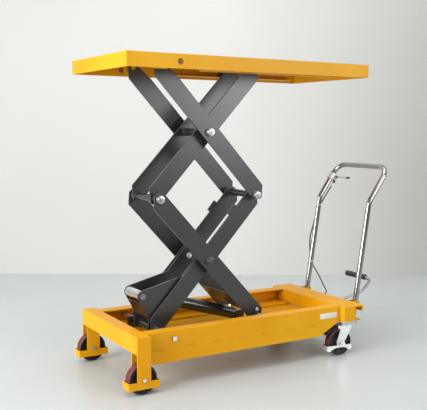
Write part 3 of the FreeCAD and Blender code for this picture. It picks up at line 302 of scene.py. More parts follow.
def arm_coat(name, base, pale, deep, rough):
    """Satin paint on rolled plate: mill streaks, scratches, dust on top, rubbed edges, painted
    shade in inside corners.
    """
    paint = Paint(name)
    drift = paint.noise(scale=3.0, detail=4.0)
    tone = paint.ramp(drift, (0.30, deep), (0.52, base), (0.78, pale))
    along = paint.stretch(scale=(18.0, 18.0, 3.0), turn=(0.0, 0.85, 0.0))
    mill = paint.noise(scale=6.0, detail=6.0, rough=0.65, warp=0.3, coords=along)
    tone = paint.mix(tone, pale, mill, amount=0.07)
    along = paint.stretch(scale=(260.0, 40.0, 12.0), turn=(0.0, 0.6, 0.2))
    scratch = paint.noise(scale=2.0, detail=3.0, rough=0.8, coords=along)
    scratch = paint.mask(scratch, start=0.70, full=0.74)
    patch = paint.mask(paint.noise(scale=9.0, detail=2.0), start=0.50, full=0.70)
    scratch = paint.calc("MULTIPLY", scratch, patch)
    tone = paint.mix(tone, [channel * 2.6 for channel in pale], scratch, amount=0.45)
    powder = paint.scaled(paint.noise(scale=45.0, detail=5.0, rough=0.7), by=0.28)
    dust = paint.calc("MULTIPLY", paint.facing_up(), powder)
    tone = paint.mix(tone, (0.34, 0.33, 0.31), dust)
    worn = paint.noise(scale=70.0, detail=4.0, rough=0.7)
    worn = paint.mask(worn, start=0.46, full=0.62, low=0.12)
    rub = paint.calc("MULTIPLY", paint.edges(), worn)
    tone = paint.mix(tone, (0.30, 0.30, 0.30), rub, amount=0.5)
    # painted shade: near black in inside corners, from ambient occlusion
    tone = paint.mix(tone, (0.012, 0.011, 0.010), paint.corners(distance=0.015), amount=0.7)
    roughness = paint.scaled(mill, by=0.05, plus=rough - 0.03)
    roughness = paint.raised(roughness, dust, by=0.8, clamp=True)
    paint.set(Base_Color=tone, Roughness=roughness, Coat_Weight=0.55, Coat_Roughness=0.30)
    paint.bump(mill, strength=0.012, distance=0.0005)
    paint.bump(paint.noise(scale=480.0, detail=2.0), strength=0.10, distance=0.0004)
    paint.bump(scratch, strength=-0.12, distance=0.0002)
    return paint.material


YELLOW = powder_coat(
    "yellow_powder_coat", base=(0.790, 0.375, 0.004), deep=(0.735, 0.320, 0.003),
    pale=(0.850, 0.440, 0.010), chip=(0.24, 0.21, 0.17), soil_and_shade=(0.10, 0.06, 0.02),
    rough=0.44, coat=0.04, spec=0.15, soil_and_shade_gain=1.1, wear=0.55, peel=0.16)
ARM = arm_coat(
    "anthracite_coat", base=(0.017, 0.019, 0.0205), pale=(0.025, 0.0275, 0.029),
    deep=(0.012, 0.014, 0.0155), rough=0.36)
GLOSS_BLACK = powder_coat(
    "black_enamel", base=(0.020, 0.021, 0.022), deep=(0.014, 0.014, 0.015),
    pale=(0.040, 0.041, 0.043), chip=(0.28, 0.27, 0.26), soil_and_shade=(0.05, 0.045, 0.04),
    rough=0.26, coat=0.4, spec=0.5, soil_and_shade_gain=0.6, wear=0.4, peel=0.10)
ZINC = metal(
    "bright_zinc", base=(0.80, 0.81, 0.82), tint=(0.66, 0.68, 0.70),
    stain_and_shade=(0.30, 0.27, 0.22), rough=0.26, spread=0.16, grain=180.0, metallic=0.9)
FORK = metal(
    "castor_zinc", base=(0.88, 0.89, 0.90), tint=(0.78, 0.80, 0.82),
    stain_and_shade=(0.42, 0.40, 0.36), rough=0.34, spread=0.14, grain=140.0, metallic=0.72)
STEEL = metal(
    "dark_steel", base=(0.30, 0.30, 0.30), tint=(0.17, 0.165, 0.16),
    stain_and_shade=(0.07, 0.05, 0.035), rough=0.34, spread=0.2, grain=220.0)
CHROME = metal(
    "chrome_plate", base=(0.43, 0.41, 0.395), tint=(0.37, 0.35, 0.335),
    stain_and_shade=(0.30, 0.24, 0.18), rough=0.085, spread=0.05, grain=90.0, fine=0.004, shine=0.1)
ROD_CHROME = metal(
    "hard_chrome", base=(0.78, 0.78, 0.79), tint=(0.66, 0.66, 0.68),
    stain_and_shade=(0.10, 0.09, 0.07), rough=0.12, spread=0.10, grain=400.0, fine=0.04)
PEDAL_STEEL = metal(
    "pedal_rod_steel", base=(0.40, 0.39, 0.38), tint=(0.24, 0.23, 0.22),
    stain_and_shade=(0.10, 0.07, 0.05), rough=0.30, spread=0.18, grain=260.0)
PIN = metal(
    "pin_head_zinc", base=(0.62, 0.625, 0.63), tint=(0.44, 0.445, 0.45),
    stain_and_shade=(0.10, 0.09, 0.075), rough=0.28, spread=0.18, grain=200.0, metallic=0.9)
BRASS = metal(
    "brass_fitting", base=(0.82, 0.60, 0.22), tint=(0.62, 0.42, 0.13),
    stain_and_shade=(0.16, 0.10, 0.03), rough=0.24, spread=0.2, grain=200.0)
ROLLER = metal(
    "roller_steel", base=(0.22, 0.22, 0.225), tint=(0.12, 0.12, 0.125),
    stain_and_shade=(0.03, 0.025, 0.02), rough=0.30, spread=0.2, grain=240.0, metallic=0.9)
TREAD = soft(
    "maroon_polyurethane", base=(0.125, 0.012, 0.016), pale=(0.180, 0.024, 0.026),
    scuff=(0.10, 0.04, 0.035), rough=0.46, scale=160.0, strength=0.12, scuffing=0.30,
    subsurface=0.05, dust=0.03)
# dark orange-brown, the colour of the shade inside the skirt's holes: painted shade
HOLE_SHADE_PLUG = soft(
    "plug_in_hole_shade_colour", base=(0.23, 0.075, 0.010), pale=(0.30, 0.110, 0.016),
    scuff=(0.16, 0.07, 0.02), rough=0.60, scale=600.0, strength=0.2, scuffing=0.25)
CORE = soft(
    "black_wheel_core", base=(0.012, 0.012, 0.013), pale=(0.030, 0.030, 0.032),
    scuff=(0.10, 0.095, 0.09), rough=0.46, scale=500.0, strength=0.12, scuffing=0.18,
    dust=0.06)
RUBBER = soft(
    "black_rubber", base=(0.015, 0.015, 0.016), pale=(0.038, 0.037, 0.036),
    scuff=(0.11, 0.105, 0.10), rough=0.62, scale=700.0, strength=0.25, scuffing=0.2,
    dust=0.12)
PLASTIC = soft(
    "black_plastic", base=(0.018, 0.018, 0.019), pale=(0.034, 0.034, 0.035),
    scuff=(0.09, 0.09, 0.09), rough=0.42, scale=900.0, strength=0.2, scuffing=0.12)
TIE = soft(
    "white_tie", base=(0.66, 0.66, 0.63), pale=(0.80, 0.80, 0.78),
    scuff=(0.45, 0.42, 0.36), rough=0.45, scale=900.0, strength=0.1, scuffing=0.2)
FILM = soft(
    "label_film", base=(0.70, 0.71, 0.70), pale=(0.80, 0.81, 0.80),
    scuff=(0.55, 0.52, 0.44), rough=0.38, scale=1200.0, strength=0.04, scuffing=0.22)


# ------------------------------------------------------------------ mesh tools
def link_mesh(name, mesh, materials):
    """Turns a bmesh into a linked object."""
    data = bpy.data.meshes.new(name)
    mesh.to_mesh(data)
    mesh.free()
    for material in materials:
        data.materials.append(material)
    obj = bpy.data.objects.new(name, data)
    scene.collection.objects.link(obj)
    return obj


def finish(name, mesh, materials, body, sharp=35.0, replaces=()):
    """Welds and shades the mesh (edges sharp above the angle) and ties it to its body."""
    bmesh.ops.remove_doubles(mesh, verts=mesh.verts, dist=1e-7)
    bmesh.ops.recalc_face_normals(mesh, faces=mesh.faces)
    limit = math.radians(sharp)
    for edge in mesh.edges:
        edge.smooth = not (len(edge.link_faces) == 2 and edge.calc_face_angle(0.0) > limit)
    for face in mesh.faces:
        face.smooth = True
    obj = link_mesh(name, mesh, materials if isinstance(materials, list) else [materials])
    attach(obj, body)
    if replaces:
        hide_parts(*replaces)


def basis(axis):
    """Two unit vectors across the axis, then the axis."""
    along = Vector(axis).normalized()
    across = Vector((0, 0, 1)).cross(along)
    if across.length < 1e-4:
        across = Vector((1, 0, 0))
    across.normalize()
    return across, along.cross(across), along


def ray(across, over, angle):
    return across * math.cos(angle) + over * math.sin(angle)


def spokes(across, over, count):
    return [ray(across, over, 2 * math.pi * k / count) for k in range(count)]


def ring_faces(mesh, first, second, mat=0):
    count = len(first)
    for i in range(count):
        after = (i + 1) % count
        face = mesh.faces.new((first[i], first[after], second[after], second[i]))
        face.material_index = mat


def fan(mesh, tip, rim, mat=0):
    for k, vert in enumerate(rim):
        mesh.faces.new((tip, vert, rim[(k + 1) % len(rim)])).material_index = mat


BOX_FACES = ((0, 1, 3, 2), (4, 6, 7, 5), (0, 4, 5, 1), (2, 3, 7, 6), (0, 2, 6, 4), (1, 5, 7, 3))


def add_box(mesh, corners):
    """Six faces on eight corners; the last direction varies fastest."""
    verts = [mesh.verts.new(corner) for corner in corners]
    for quad in BOX_FACES:
        mesh.faces.new([verts[i] for i in quad])


def add_lathe(mesh, profile, centre, axis, sides=40, mats=None, closed=False):
    """Turned shape: profile of (radius, height) in metres along the axis from the centre."""
    across, over, along = basis(axis)
    centre = Vector(centre)
    directions = spokes(across, over, sides)
    rows = []
    for radius, height in profile:
        middle = centre + along * height
        if radius < 1e-6:
            rows.append([mesh.verts.new(middle)])
        else:
            rows.append([mesh.verts.new(middle + spoke * radius) for spoke in directions])
    pairs = list(zip(rows[:-1], rows[1:]))
    if closed:
        pairs.append((rows[-1], rows[0]))
    for i, (first, second) in enumerate(pairs):
        mat = mats[i] if mats else 0
        if len(first) == 1 and len(second) == 1:
            continue
        if len(first) == 1:
            fan(mesh, first[0], second, mat)
        elif len(second) == 1:
            fan(mesh, second[0], first, mat)
        else:
            ring_faces(mesh, first, second, mat)


def lathe(name, profile, centre, axis, material, body, sides=40, mats=None,
          closed=False, sharp=30.0, replaces=()):
    mesh = bmesh.new()
    add_lathe(mesh, profile, centre, axis, sides, mats, closed)
    finish(name, mesh, material, body, sharp, replaces)


def mirrored(profile):
    """The profile, then its mirror image below height 0, back to the start radius."""
    return profile + [(radius, -height) for radius, height in profile[::-1]]


def add_hex(mesh, centre, axis, flats, height, sides=36):
    """Chamfered hexagon head or nut, sitting on the centre and rising along the axis."""
    across, over, along = basis(axis)
    flat_r = flats / 2
    corner_r = flat_r / math.cos(math.pi / 6)
    drop = (corner_r - flat_r) * 0.58  # how far the chamfer falls at the corners

    def row(shape):
        verts = []
        for k in range(sides):
            angle = 2 * math.pi * k / sides
            from_flat = ((angle + math.pi / 6) % (math.pi / 3)) - math.pi / 6
            radius, rise = shape(flat_r / math.cos(from_flat))
            spoke = ray(across, over, angle)
            verts.append(mesh.verts.new(centre + along * rise + spoke * radius))
        return verts

    def shoulder(radius):
        fall = drop * (radius - flat_r) / (corner_r - flat_r)
        return radius, height - fall - height * 0.06

    foot = row(lambda radius: (radius, 0.0))
    middle = row(shoulder)
    top = row(lambda radius: (flat_r * 0.955, height))
    ring_faces(mesh, foot, middle)
    ring_faces(mesh, middle, top)
    fan(mesh, mesh.verts.new(centre + along * height), top)
    fan(mesh, mesh.verts.new(centre), foot)


def thread(radius, start, end, pitch=0.0015, depth=0.0007):
    """Profile of a threaded stub between two heights."""
    root = radius - depth
    profile = [(root, start)]
    height = start
    while height + pitch < end - 0.001:
        profile += [(radius, height + pitch * 0.45), (root, height + pitch)]
        height += pitch
    return profile + [(root, end - 0.0008), (root - 0.0009, end), (0, end)]


def fastener(name, centre, axis, body, flats, height, washer=0.0, washer_h=0.0018,
             stub=0.0, stub_r=0.0, material=ZINC):
    """Hex head or nut, with an optional washer under it and a threaded stub above it."""
    mesh = bmesh.new()
    along = Vector(axis).normalized()
    base = Vector(centre)
    if washer:
        chamfer = 0.0005
        profile = [(0, 0), (washer - chamfer, 0), (washer, chamfer),
                   (washer, washer_h - chamfer), (washer - chamfer, washer_h), (0, washer_h)]
        add_lathe(mesh, profile, base, along, sides=36)
        base = base + along * washer_h
    add_hex(mesh, base, along, flats, height)
    if stub:
        sunk = height - 0.0005
        profile = [(0, sunk)] + thread(stub_r, sunk, height + stub)
        add_lathe(mesh, profile, base, along, sides=24)
    finish(name, mesh, material, body, 32.0)


def path(points, radii, step):
    """Straights through the points (m) with an arc of each radius at the inner points."""
    out = [points[0]]
    for before, corner, after, radius in zip(points, points[1:], points[2:], radii):
        back, ahead = (before - corner).normalized(), (after - corner).normalized()
        angle = back.angle(ahead)
        trim = radius / math.tan(angle / 2)
        limit = 0.49 * min((before - corner).length, (after - corner).length)
        if trim > limit:
            radius *= limit / trim
            trim = limit
        centre = corner + (back + ahead).normalized() * (radius / math.sin(angle / 2))
        start = corner + back * trim - centre
        end = corner + ahead * trim - centre
        sweep = math.pi - angle
        count = max(4, int(sweep * radius / step) + 1, int(sweep / 0.12))
        axis = start.cross(end).normalized()
        for k in range(count + 1):
            out.append(centre + Matrix.Rotation(sweep * k / count, 3, axis) @ start)
    out.append(points[-1])
    clean = [out[0]]
    for point in out[1:]:
        if (point - clean[-1]).length > 1e-5:
            clean.append(point)
    return clean


def even(points, step):
    """The same path, cut to even steps."""
    out = [points[0]]
    carry = 0.0
    for start, end in zip(points[:-1], points[1:]):
        length = (end - start).length
        travelled = step - carry
        while travelled <= length:
            out.append(start.lerp(end, travelled / length))
            travelled += step
        carry = (carry + length) % step
    if (out[-1] - points[-1]).length > step * 0.3:
        out.append(points[-1])
    return out


def add_sweep(mesh, points, radius, sides, closed=False):
    """Round section along a path; radius may be a function of point number and arc length."""
    last = len(points) - 1
    across = None
    rows = []
    travelled = 0.0
    for i, point in enumerate(points):
        if closed:
            before, after = points[i - 1], points[(i + 1) % len(points)]
        else:
            before, after = points[max(i - 1, 0)], points[min(i + 1, last)]
        along = (after - before).normalized()
        if across is None:
            across = basis(along)[0]
        across = (across - along * across.dot(along)).normalized()
        if i:
            travelled += (point - points[i - 1]).length
        size = radius(i, travelled) if callable(radius) else radius
        directions = spokes(across, along.cross(across), sides)
        rows.append([mesh.verts.new(point + spoke * size) for spoke in directions])
    for first, second in zip(rows[:-1], rows[1:]):
        ring_faces(mesh, first, second)
    if closed:
        ring_faces(mesh, rows[-1], rows[0])
    else:
        mesh.faces.new(rows[0][::-1])
        mesh.faces.new(rows[-1])


def tube(name, points, radius, material, body, sides, sharp=40.0, replaces=()):
    mesh = bmesh.new()
    add_sweep(mesh, points, radius, sides)
    finish(name, mesh, material, body, sharp, replaces)


BEAD_NUMBERS = itertools.count(1)


def add_bead(mesh, points, radius, closed, ripple=0.0032):
    """Weld bead: ripples and small lumps along a seam, half sunk in the parts."""
    seed = next(BEAD_NUMBERS) * 7.31
    fine = even(points, ripple / 3)
    if closed and (fine[-1] - fine[0]).length < ripple * 0.3:
        fine.pop()

    def size(_, travelled):
        wave = 0.16 * math.sin(2 * math.pi * travelled / ripple)
        lump = 0.22 * noise.noise(Vector((travelled * 90, seed, 0.5)))
        return radius * (1.0 + wave + lump)

    add_sweep(mesh, fine, size, sides=7, closed=closed)


def beads(name, seams, body, material, radius, closed=False):
    mesh = bmesh.new()
    for points in seams:
        add_bead(mesh, points + [points[0]] if closed else points, radius, closed)
    finish(name, mesh, material, body, sharp=60.0)


def ring_welds(name, x, y, z, ring_r, body, radius):
    """A bead round a cross tube at y and at -y."""
    across, over, _ = basis((0, 1, 0))
    seams = [[Vector((x, sign * y, z)) + spoke * ring_r for spoke in spokes(across, over, 64)]
             for _, sign in SIDES]
    beads(name, seams, body, ARM, radius, closed=True)


# ------------------------------------------------------------------ dressing the CAD nodes
def geometry_group(name):
    """A modifier node group with its geometry input and output nodes."""
    group = bpy.data.node_groups.new(name, "GeometryNodeTree")
    for way in ("INPUT", "OUTPUT"):
        group.interface.new_socket("Geometry", in_out=way, socket_type="NodeSocketGeometry")
    return group, group.nodes.new("NodeGroupInput"), group.nodes.new("NodeGroupOutput")


def clean_group():
    """Drops the imported normals and merges doubled vertices."""
    group, source, result = geometry_group("merge_facets")
    drop = group.nodes.new("GeometryNodeRemoveAttribute")
    drop.inputs["Name"].default_value = "custom_normal"
    merge = group.nodes.new("GeometryNodeMergeByDistance")
    merge.inputs["Distance"].default_value = 1e-6
    group.links.new(source.outputs[0], drop.inputs["Geometry"])
    group.links.new(drop.outputs["Geometry"], merge.inputs["Geometry"])
    group.links.new(merge.outputs["Geometry"], result.inputs[0])
    return group


def smooth_group(limit):
    """Shades all faces smooth and keeps edges above the limit sharp."""
    group, source, result = geometry_group("smooth_by_angle")
    angle = group.nodes.new("GeometryNodeInputMeshEdgeAngle")
    compare = group.nodes.new("FunctionNodeCompare")
    compare.data_type = "FLOAT"
    compare.operation = "LESS_EQUAL"
    compare.inputs[1].default_value = limit
    face = group.nodes.new("GeometryNodeSetShadeSmooth")
    face.domain = "FACE"
    edge = group.nodes.new("GeometryNodeSetShadeSmooth")
    edge.domain = "EDGE"
    group.links.new(angle.outputs["Unsigned Angle"], compare.inputs[0])
    group.links.new(source.outputs[0], face.inputs["Geometry"])
    group.links.new(face.outputs["Geometry"], edge.inputs["Geometry"])
    group.links.new(compare.outputs["Result"], edge.inputs["Shade Smooth"])
    group.links.new(edge.outputs["Geometry"], result.inputs[0])
    return group


CLEAN = clean_group()
SMOOTH = smooth_group(math.radians(32))


def modify(obj, name, kind, **settings):
    modifier = obj.modifiers.new(name, kind)
    for key, value in settings.items():
        setattr(modifier, key, value)


def dress(node, material, width):
    """Merged facets, edges rounded to the width, smooth shading and a new material."""
    obj = NODES[node]
    modify(obj, "merge", "NODES", node_group=CLEAN)
    modify(obj, "planar", "DECIMATE", decimate_type="DISSOLVE", angle_limit=math.radians(0.5))
    modify(obj, "edges", "BEVEL", width=width, segments=2, limit_method="ANGLE",
           angle_limit=math.radians(38), use_clamp_overlap=True, harden_normals=False,
           miter_outer="MITER_ARC")
    modify(obj, "shade", "NODES", node_group=SMOOTH)
    modify(obj, "weighted", "WEIGHTED_NORMAL", mode="FACE_AREA", weight=100, keep_sharp=True)
    obj.data.materials.clear()
    obj.data.materials.append(material)


# material, width of the rounded edges (m), nodes; * stands for left and right
LOOKS = (
    (YELLOW, 0.0022, "platform_deck side_rail_* front_cross_beam"),
    (YELLOW, 0.0018, "rear_cross_beam"),
    (YELLOW, 0.0011, "front_wheel_bracket_*"),
    (YELLOW, 0.0010, "platform_roller_rails upper_pivot_brackets skirt_plate_* tray_floor"),
    (GLOSS_BLACK, 0.0016, "pump_and_tank"),
    (GLOSS_BLACK, 0.0012, "lower_pivot_brackets cylinder_barrel"),
    (GLOSS_BLACK, 0.0010, "cylinder_base_bracket lever_wrap_plate"),
    (GLOSS_BLACK, 0.0010, "lower_inner_cross_tubes upper_inner_cross_tubes"),
    (GLOSS_BLACK, 0.0008, "release_lever"),
    (ARM, 0.0012, "lower_inner_arm_* lower_outer_arm_* upper_inner_arm_* upper_outer_arm_*"),
    (ARM, 0.0012, "lower_outer_tie_plate lever_plate_*"),
    (STEEL, 0.0010, "lower_inner_shafts upper_inner_shafts"),
    (STEEL, 0.0008, "lower_roller_axles"),
    (ZINC, 0.0010, "lower_pivot_pins"),
    (ZINC, 0.0008, "release_clamp"),
    (ZINC, 0.0006, "front_axle_bolts handle_bolts"),
    (ROLLER, 0.0012, "lower_roller_* upper_roller_*"),
    (ROD_CHROME, 0.0008, "piston_rod pump_plunger"),
    (FORK, 0.0009, "castor_fork_*"),
    (FORK, 0.0008, "castor_top_plates"),
    (PLASTIC, 0.0009, "castor_brake_*"),
    (PEDAL_STEEL, 0.0006, "foot_pedal_lever"),
)
for material, width, names in LOOKS:
    for name in names.split():
        for side in ("left", "right") if "*" in name else ("",):
            dress(name.replace("*", side), material, width)

# ------------------------------------------------------------------ wheels
WHEEL_R = 0.0625
TREAD_ROUND = 0.0055  # radius of the tread's shoulders
RIM_R = WHEEL_R - 0.0034  # inside of the tread
HUB_R = 0.015
BORE_R = 0.0062
WEB_HALF = 0.0065  # half the thickness of the core's web
RIB_COUNT = 10
RIB_HALF = 0.0013


def wheel_tread(name, body, centre, axis, half):
    """Rounded tread; its flanks below the shoulders have the core's colour."""
    shoulder = []
    for k in range(9):
        angle = math.radians(90 * k / 8)
        shoulder.append((WHEEL_R - TREAD_ROUND + TREAD_ROUND * math.cos(angle),
                         -(half - TREAD_ROUND) - TREAD_ROUND * math.sin(angle)))
    profile = [(RIM_R, -half + 0.0008), (RIM_R + 0.0012, -half)] + shoulder[::-1]
    profile += [(WHEEL_R, -half * 0.5), (WHEEL_R, 0.0), (WHEEL_R, half * 0.5)]
    profile += [(radius, -height) for radius, height in shoulder]
    profile += [(RIM_R + 0.0012, half), (RIM_R, half - 0.0008)]
    flank = [radius <= WHEEL_R - 0.0016 for radius, _ in profile]
    mats = [int(first and second) for first, second in zip(flank, flank[1:] + flank[:1])]
    lathe(name + "_tread", profile, centre, axis, [TREAD, CORE], body,
          sides=72, mats=mats, closed=True, sharp=28)


def wheel_core(name, body, centre, axis, half, hub_half):
    """Rim, recessed web and hub."""
    side = [
        (RIM_R + 0.0002, half - 0.0022), (RIM_R - 0.0012, half - 0.0014),
        (RIM_R - 0.0040, half - 0.0014), (RIM_R - 0.0052, half - 0.0030),
        (RIM_R - 0.0075, WEB_HALF + 0.001), (RIM_R - 0.0100, WEB_HALF),
        (HUB_R + 0.0095, WEB_HALF), (HUB_R + 0.0072, WEB_HALF + 0.0015),
        (HUB_R + 0.0055, hub_half - 0.004), (HUB_R + 0.0042, hub_half - 0.0026),
        (HUB_R + 0.0010, hub_half - 0.0026), (HUB_R + 0.0004, hub_half - 0.0040),
        (HUB_R - 0.0040, hub_half - 0.0040), (HUB_R - 0.0046, hub_half - 0.0006),
        (HUB_R - 0.0052, hub_half), (BORE_R, hub_half),
    ]
    lathe(name + "_core", mirrored(side), centre, axis, CORE, body,
          sides=72, closed=True, sharp=28, replaces=(name,))


def wheel_ribs(name, body, centre, axis, half, hub_half):
    """Radial ribs on both faces of the web."""
    across, over, along = basis(axis)
    mesh = bmesh.new()
    for spoke in spokes(across, over, RIB_COUNT):
        sideways = along.cross(spoke)
        ends = ((centre + spoke * (HUB_R + 0.0062), hub_half - 0.0085),
                (centre + spoke * (RIM_R - 0.0062), half - 0.0075))
        for face in (-1, 1):
            add_box(mesh, [point + sideways * offset + along * face * height
                           for point, top in ends
                           for offset in (-RIB_HALF, RIB_HALF)
                           for height in (WEB_HALF - 0.001, top)])
    finish(name + "_ribs", mesh, CORE, body, 30)


def wheel_seals(name, body, centre, axis, hub_half):
    """A bearing seal ring in each end of the hub."""
    along = basis(axis)[2]
    profile = [
        (BORE_R + 0.0005, hub_half - 0.0046), (HUB_R - 0.0005, hub_half - 0.0046),
        (HUB_R - 0.0005, hub_half - 0.0030), (HUB_R - 0.0022, hub_half - 0.0024),
        (BORE_R + 0.0035, hub_half - 0.0024), (BORE_R + 0.0022, hub_half - 0.0010),
        (BORE_R + 0.0005, hub_half - 0.0010),
    ]
    mesh = bmesh.new()
    for face in (-1, 1):
        add_lathe(mesh, profile, centre, along * face, closed=True)
    finish(name + "_seals", mesh, STEEL, body, 30)


def wheel(kind, side, width, hub_width):
    name = kind + "_" + side
    body = kind + "_" + side[0]
    low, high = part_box(name)
    centre = (low + high) / 2
    axis = JOINT[kind + "_spin_" + side[0]]["axis"]
    half, hub_half = width / 2, hub_width / 2
    wheel_tread(name, body, centre, axis, half)
    wheel_core(name, body, centre, axis, half, hub_half)
    wheel_ribs(name, body, centre, axis, half, hub_half)
    wheel_seals(name, body, centre, axis, hub_half)


for side, _ in SIDES:
    wheel("front_wheel", side, width=0.042, hub_width=0.046)
    wheel("castor_wheel", side, width=0.040, hub_width=0.0445)

# axle bolt heads (-y) and nuts (+y) on the front wheel brackets
for side, sign in SIDES:
    low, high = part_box("front_wheel_bracket_" + side)
    axle = pivot("front_wheel_spin_" + side[0])
    for part, face_y, stub in (("head", low.y, 0.0), ("nut", high.y, 0.004)):
        out = -1 if face_y < axle.y else 1
        fastener("front_axle_%s_%s" % (part, side), (axle.x, face_y, axle.z), (0, out, 0), "bed",
                 flats=0.0150, height=0.0062 if out * sign > 0 else 0.008,
                 stub=stub, stub_r=0.0058)

# ------------------------------------------------------------------ castors
CASTOR_HEAD_OUT = 0.0315  # castor wheel's middle to the foot of its axle head
CASTOR_BOLT_X = 0.039  # half the spacing of the top plate's bolts
CASTOR_BOLT_Y = 0.031
CASTOR_BOLT_Z = 0.0052  # swivel pivot up to the foot of the bolts
RACE_PROFILE = [
    (0.0295, -0.0075), (0.0325, -0.0070), (0.0338, -0.0052), (0.0338, -0.0022),
    (0.0322, -0.0008), (0.0300, -0.0004), (0.0292, -0.0016), (0.0292, -0.0062),
]
KING_NUT_PROFILE = [
    (0, -0.0225), (0.0055, -0.0225), (0.0080, -0.0212), (0.0092, -0.0190),
    (0.0094, -0.0120), (0, -0.0120),
]


def castor(side):
    """Axle fasteners, swivel race, king nut and the four bolts of the top plate."""
    body = "castor_" + side[0]
    swivel = pivot("castor_swivel_" + side[0])
    wheel_centre = pivot("castor_wheel_spin_" + side[0])
    axis = Vector(JOINT["castor_wheel_spin_" + side[0]]["axis"])
    for index, (sign, stub) in enumerate(((-1, 0.0), (1, 0.003))):
        fastener("castor_axle_%s_%d" % (side, index),
                 wheel_centre + axis * sign * CASTOR_HEAD_OUT, axis * sign, body,
                 flats=0.0185, height=0.0075, washer=0.0118, washer_h=0.0016,
                 stub=stub, stub_r=0.0056)
    lathe("castor_race_" + side, RACE_PROFILE, swivel, (0, 0, 1), FORK, body,
          sides=56, closed=True)
    lathe("castor_king_nut_" + side, KING_NUT_PROFILE, swivel, (0, 0, 1), ZINC, body,
          sides=36)
    for i, x in enumerate((-CASTOR_BOLT_X, CASTOR_BOLT_X)):
        for j, y in enumerate((-CASTOR_BOLT_Y, CASTOR_BOLT_Y)):
            fastener("castor_plate_bolt_%s_%d%d" % (side, i, j),
                     (swivel.x + x, swivel.y + y, swivel.z + CASTOR_BOLT_Z), (0, 0, -1), "bed",
                     flats=0.013, height=0.0052, washer=0.0088, washer_h=0.0012)


for side, _ in SIDES:
    castor(side)

# ------------------------------------------------------------------ scissor pins
HEAD_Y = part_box("lower_inner_shafts")[1].y - 0.0128  # foot of the pin heads
FOOT = pivot("lift")
LOWER_CROSS = pivot("lower_cross_pivot")
MIDDLE_NEAR = pivot("middle_pivot")
UPPER_CROSS = pivot("upper_cross_pivot")
BED_ROLLER = pivot("lower_roller_spin_l")
MIDDLE_FAR = Vector((BED_ROLLER.x, 0, MIDDLE_NEAR.z))
LEVER_TIP = pivot("rod_eye")
PIN_R = 0.0163
PIN_H = 0.0135
# collar, snap groove, chamfer, then a grease nipple in a countersink
PIN_PROFILE = [
    (0, -0.001), (PIN_R + 0.0006, -0.001), (PIN_R + 0.0010, -0.0002), (PIN_R + 0.0010, 0.0012),
    (PIN_R + 0.0006, 0.0016), (PIN_R + 0.0002, 0.0028), (PIN_R + 0.0002, 0.0052),
    (PIN_R - 0.0009, 0.0056), (PIN_R - 0.0009, 0.0070), (PIN_R + 0.0002, 0.0074),
    (PIN_R + 0.0002, PIN_H - 0.0016), (PIN_R - 0.0004, PIN_H - 0.0006), (PIN_R - 0.0018, PIN_H),
    (0.0068, PIN_H), (0.0058, PIN_H - 0.0012), (0.0046, PIN_H - 0.0016),
    (0.0046, PIN_H + 0.0012), (0.0034, PIN_H + 0.0018), (0.0024, PIN_H + 0.0020),
    (0.0024, PIN_H + 0.0034), (0.0030, PIN_H + 0.0042), (0.0026, PIN_H + 0.0054),
    (0.0012, PIN_H + 0.0060), (0, PIN_H + 0.0060),
]
# label, place, body, material
PINS = (
    ("lower_cross", LOWER_CROSS, "lower_inner", ARM),
    ("middle_near", MIDDLE_NEAR, "upper_inner", PIN),
    ("upper_cross", UPPER_CROSS, "upper_inner", PIN),
    ("middle_far", MIDDLE_FAR, "lower_inner", PIN),
)
for label, place, body, material in PINS:
    for side, sign in SIDES:
        lathe("%s_pin_%s" % (label, side), PIN_PROFILE, (place.x, sign * HEAD_Y, place.z),
              (0, sign, 0), material, body, sharp=28.0)

# ------------------------------------------------------------------ weld beads on the linkage
INNER_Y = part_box("lower_inner_cross_tubes")[1].y - 0.0015  # just inside the inner arms
CROSS_WELD_R = 0.0168
FOOT_WELD_R = 0.0193
# name, place, ring radius, body
TUBE_WELDS = (
    ("welds_middle_tube", MIDDLE_FAR, CROSS_WELD_R, "lower_inner"),
    ("welds_foot_tube", FOOT, FOOT_WELD_R, "lower_inner"),
    ("welds_upper_middle_tube", MIDDLE_NEAR, CROSS_WELD_R, "upper_inner"),
    ("welds_upper_cross_tube", UPPER_CROSS, CROSS_WELD_R, "upper_inner"),
)
for name, place, ring_r, body in TUBE_WELDS:
    ring_welds(name, place.x, INNER_Y, place.z, ring_r, body, radius=0.0028)

# ------------------------------------------------------------------ welds on the bed
CORNER_WELD_Y = 0.2675
CORNER_WELD_OUT = 0.0004  # bead's middle off the beam's face
CORNER_WELD_INSET = 0.004  # clear of the beam's top and bottom


def stitch(start, end, run, gap, inset):
    """Broken weld runs along a seam."""
    direction = end - start
    total = direction.length
    direction.normalize()
    seams = []
    place = inset
    while place + run <= total - inset + 1e-6:
        seams.append([start + direction * place, start + direction * (place + run)])
        place += run + gap
    return seams


for side, sign in SIDES:
    seams = stitch(at(120, sign * 268, 167), at(1080, sign * 268, 167),
                   run=0.045, gap=0.085, inset=0.02)
    beads("welds_skirt_" + side, seams, "bed", YELLOW, 0.0021)
    # upright beads on the front beam's +x face and the rear beam's -x face
    for end in ("front", "rear"):
        low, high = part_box(end + "_cross_beam")
        x = high.x + CORNER_WELD_OUT if end == "front" else low.x - CORNER_WELD_OUT
        seam = [Vector((x, sign * CORNER_WELD_Y, low.z + CORNER_WELD_INSET)),
                Vector((x, sign * CORNER_WELD_Y, high.z - CORNER_WELD_INSET))]
        beads("welds_%s_corner_%s" % (end, side), [seam], "bed", YELLOW, 0.0022)

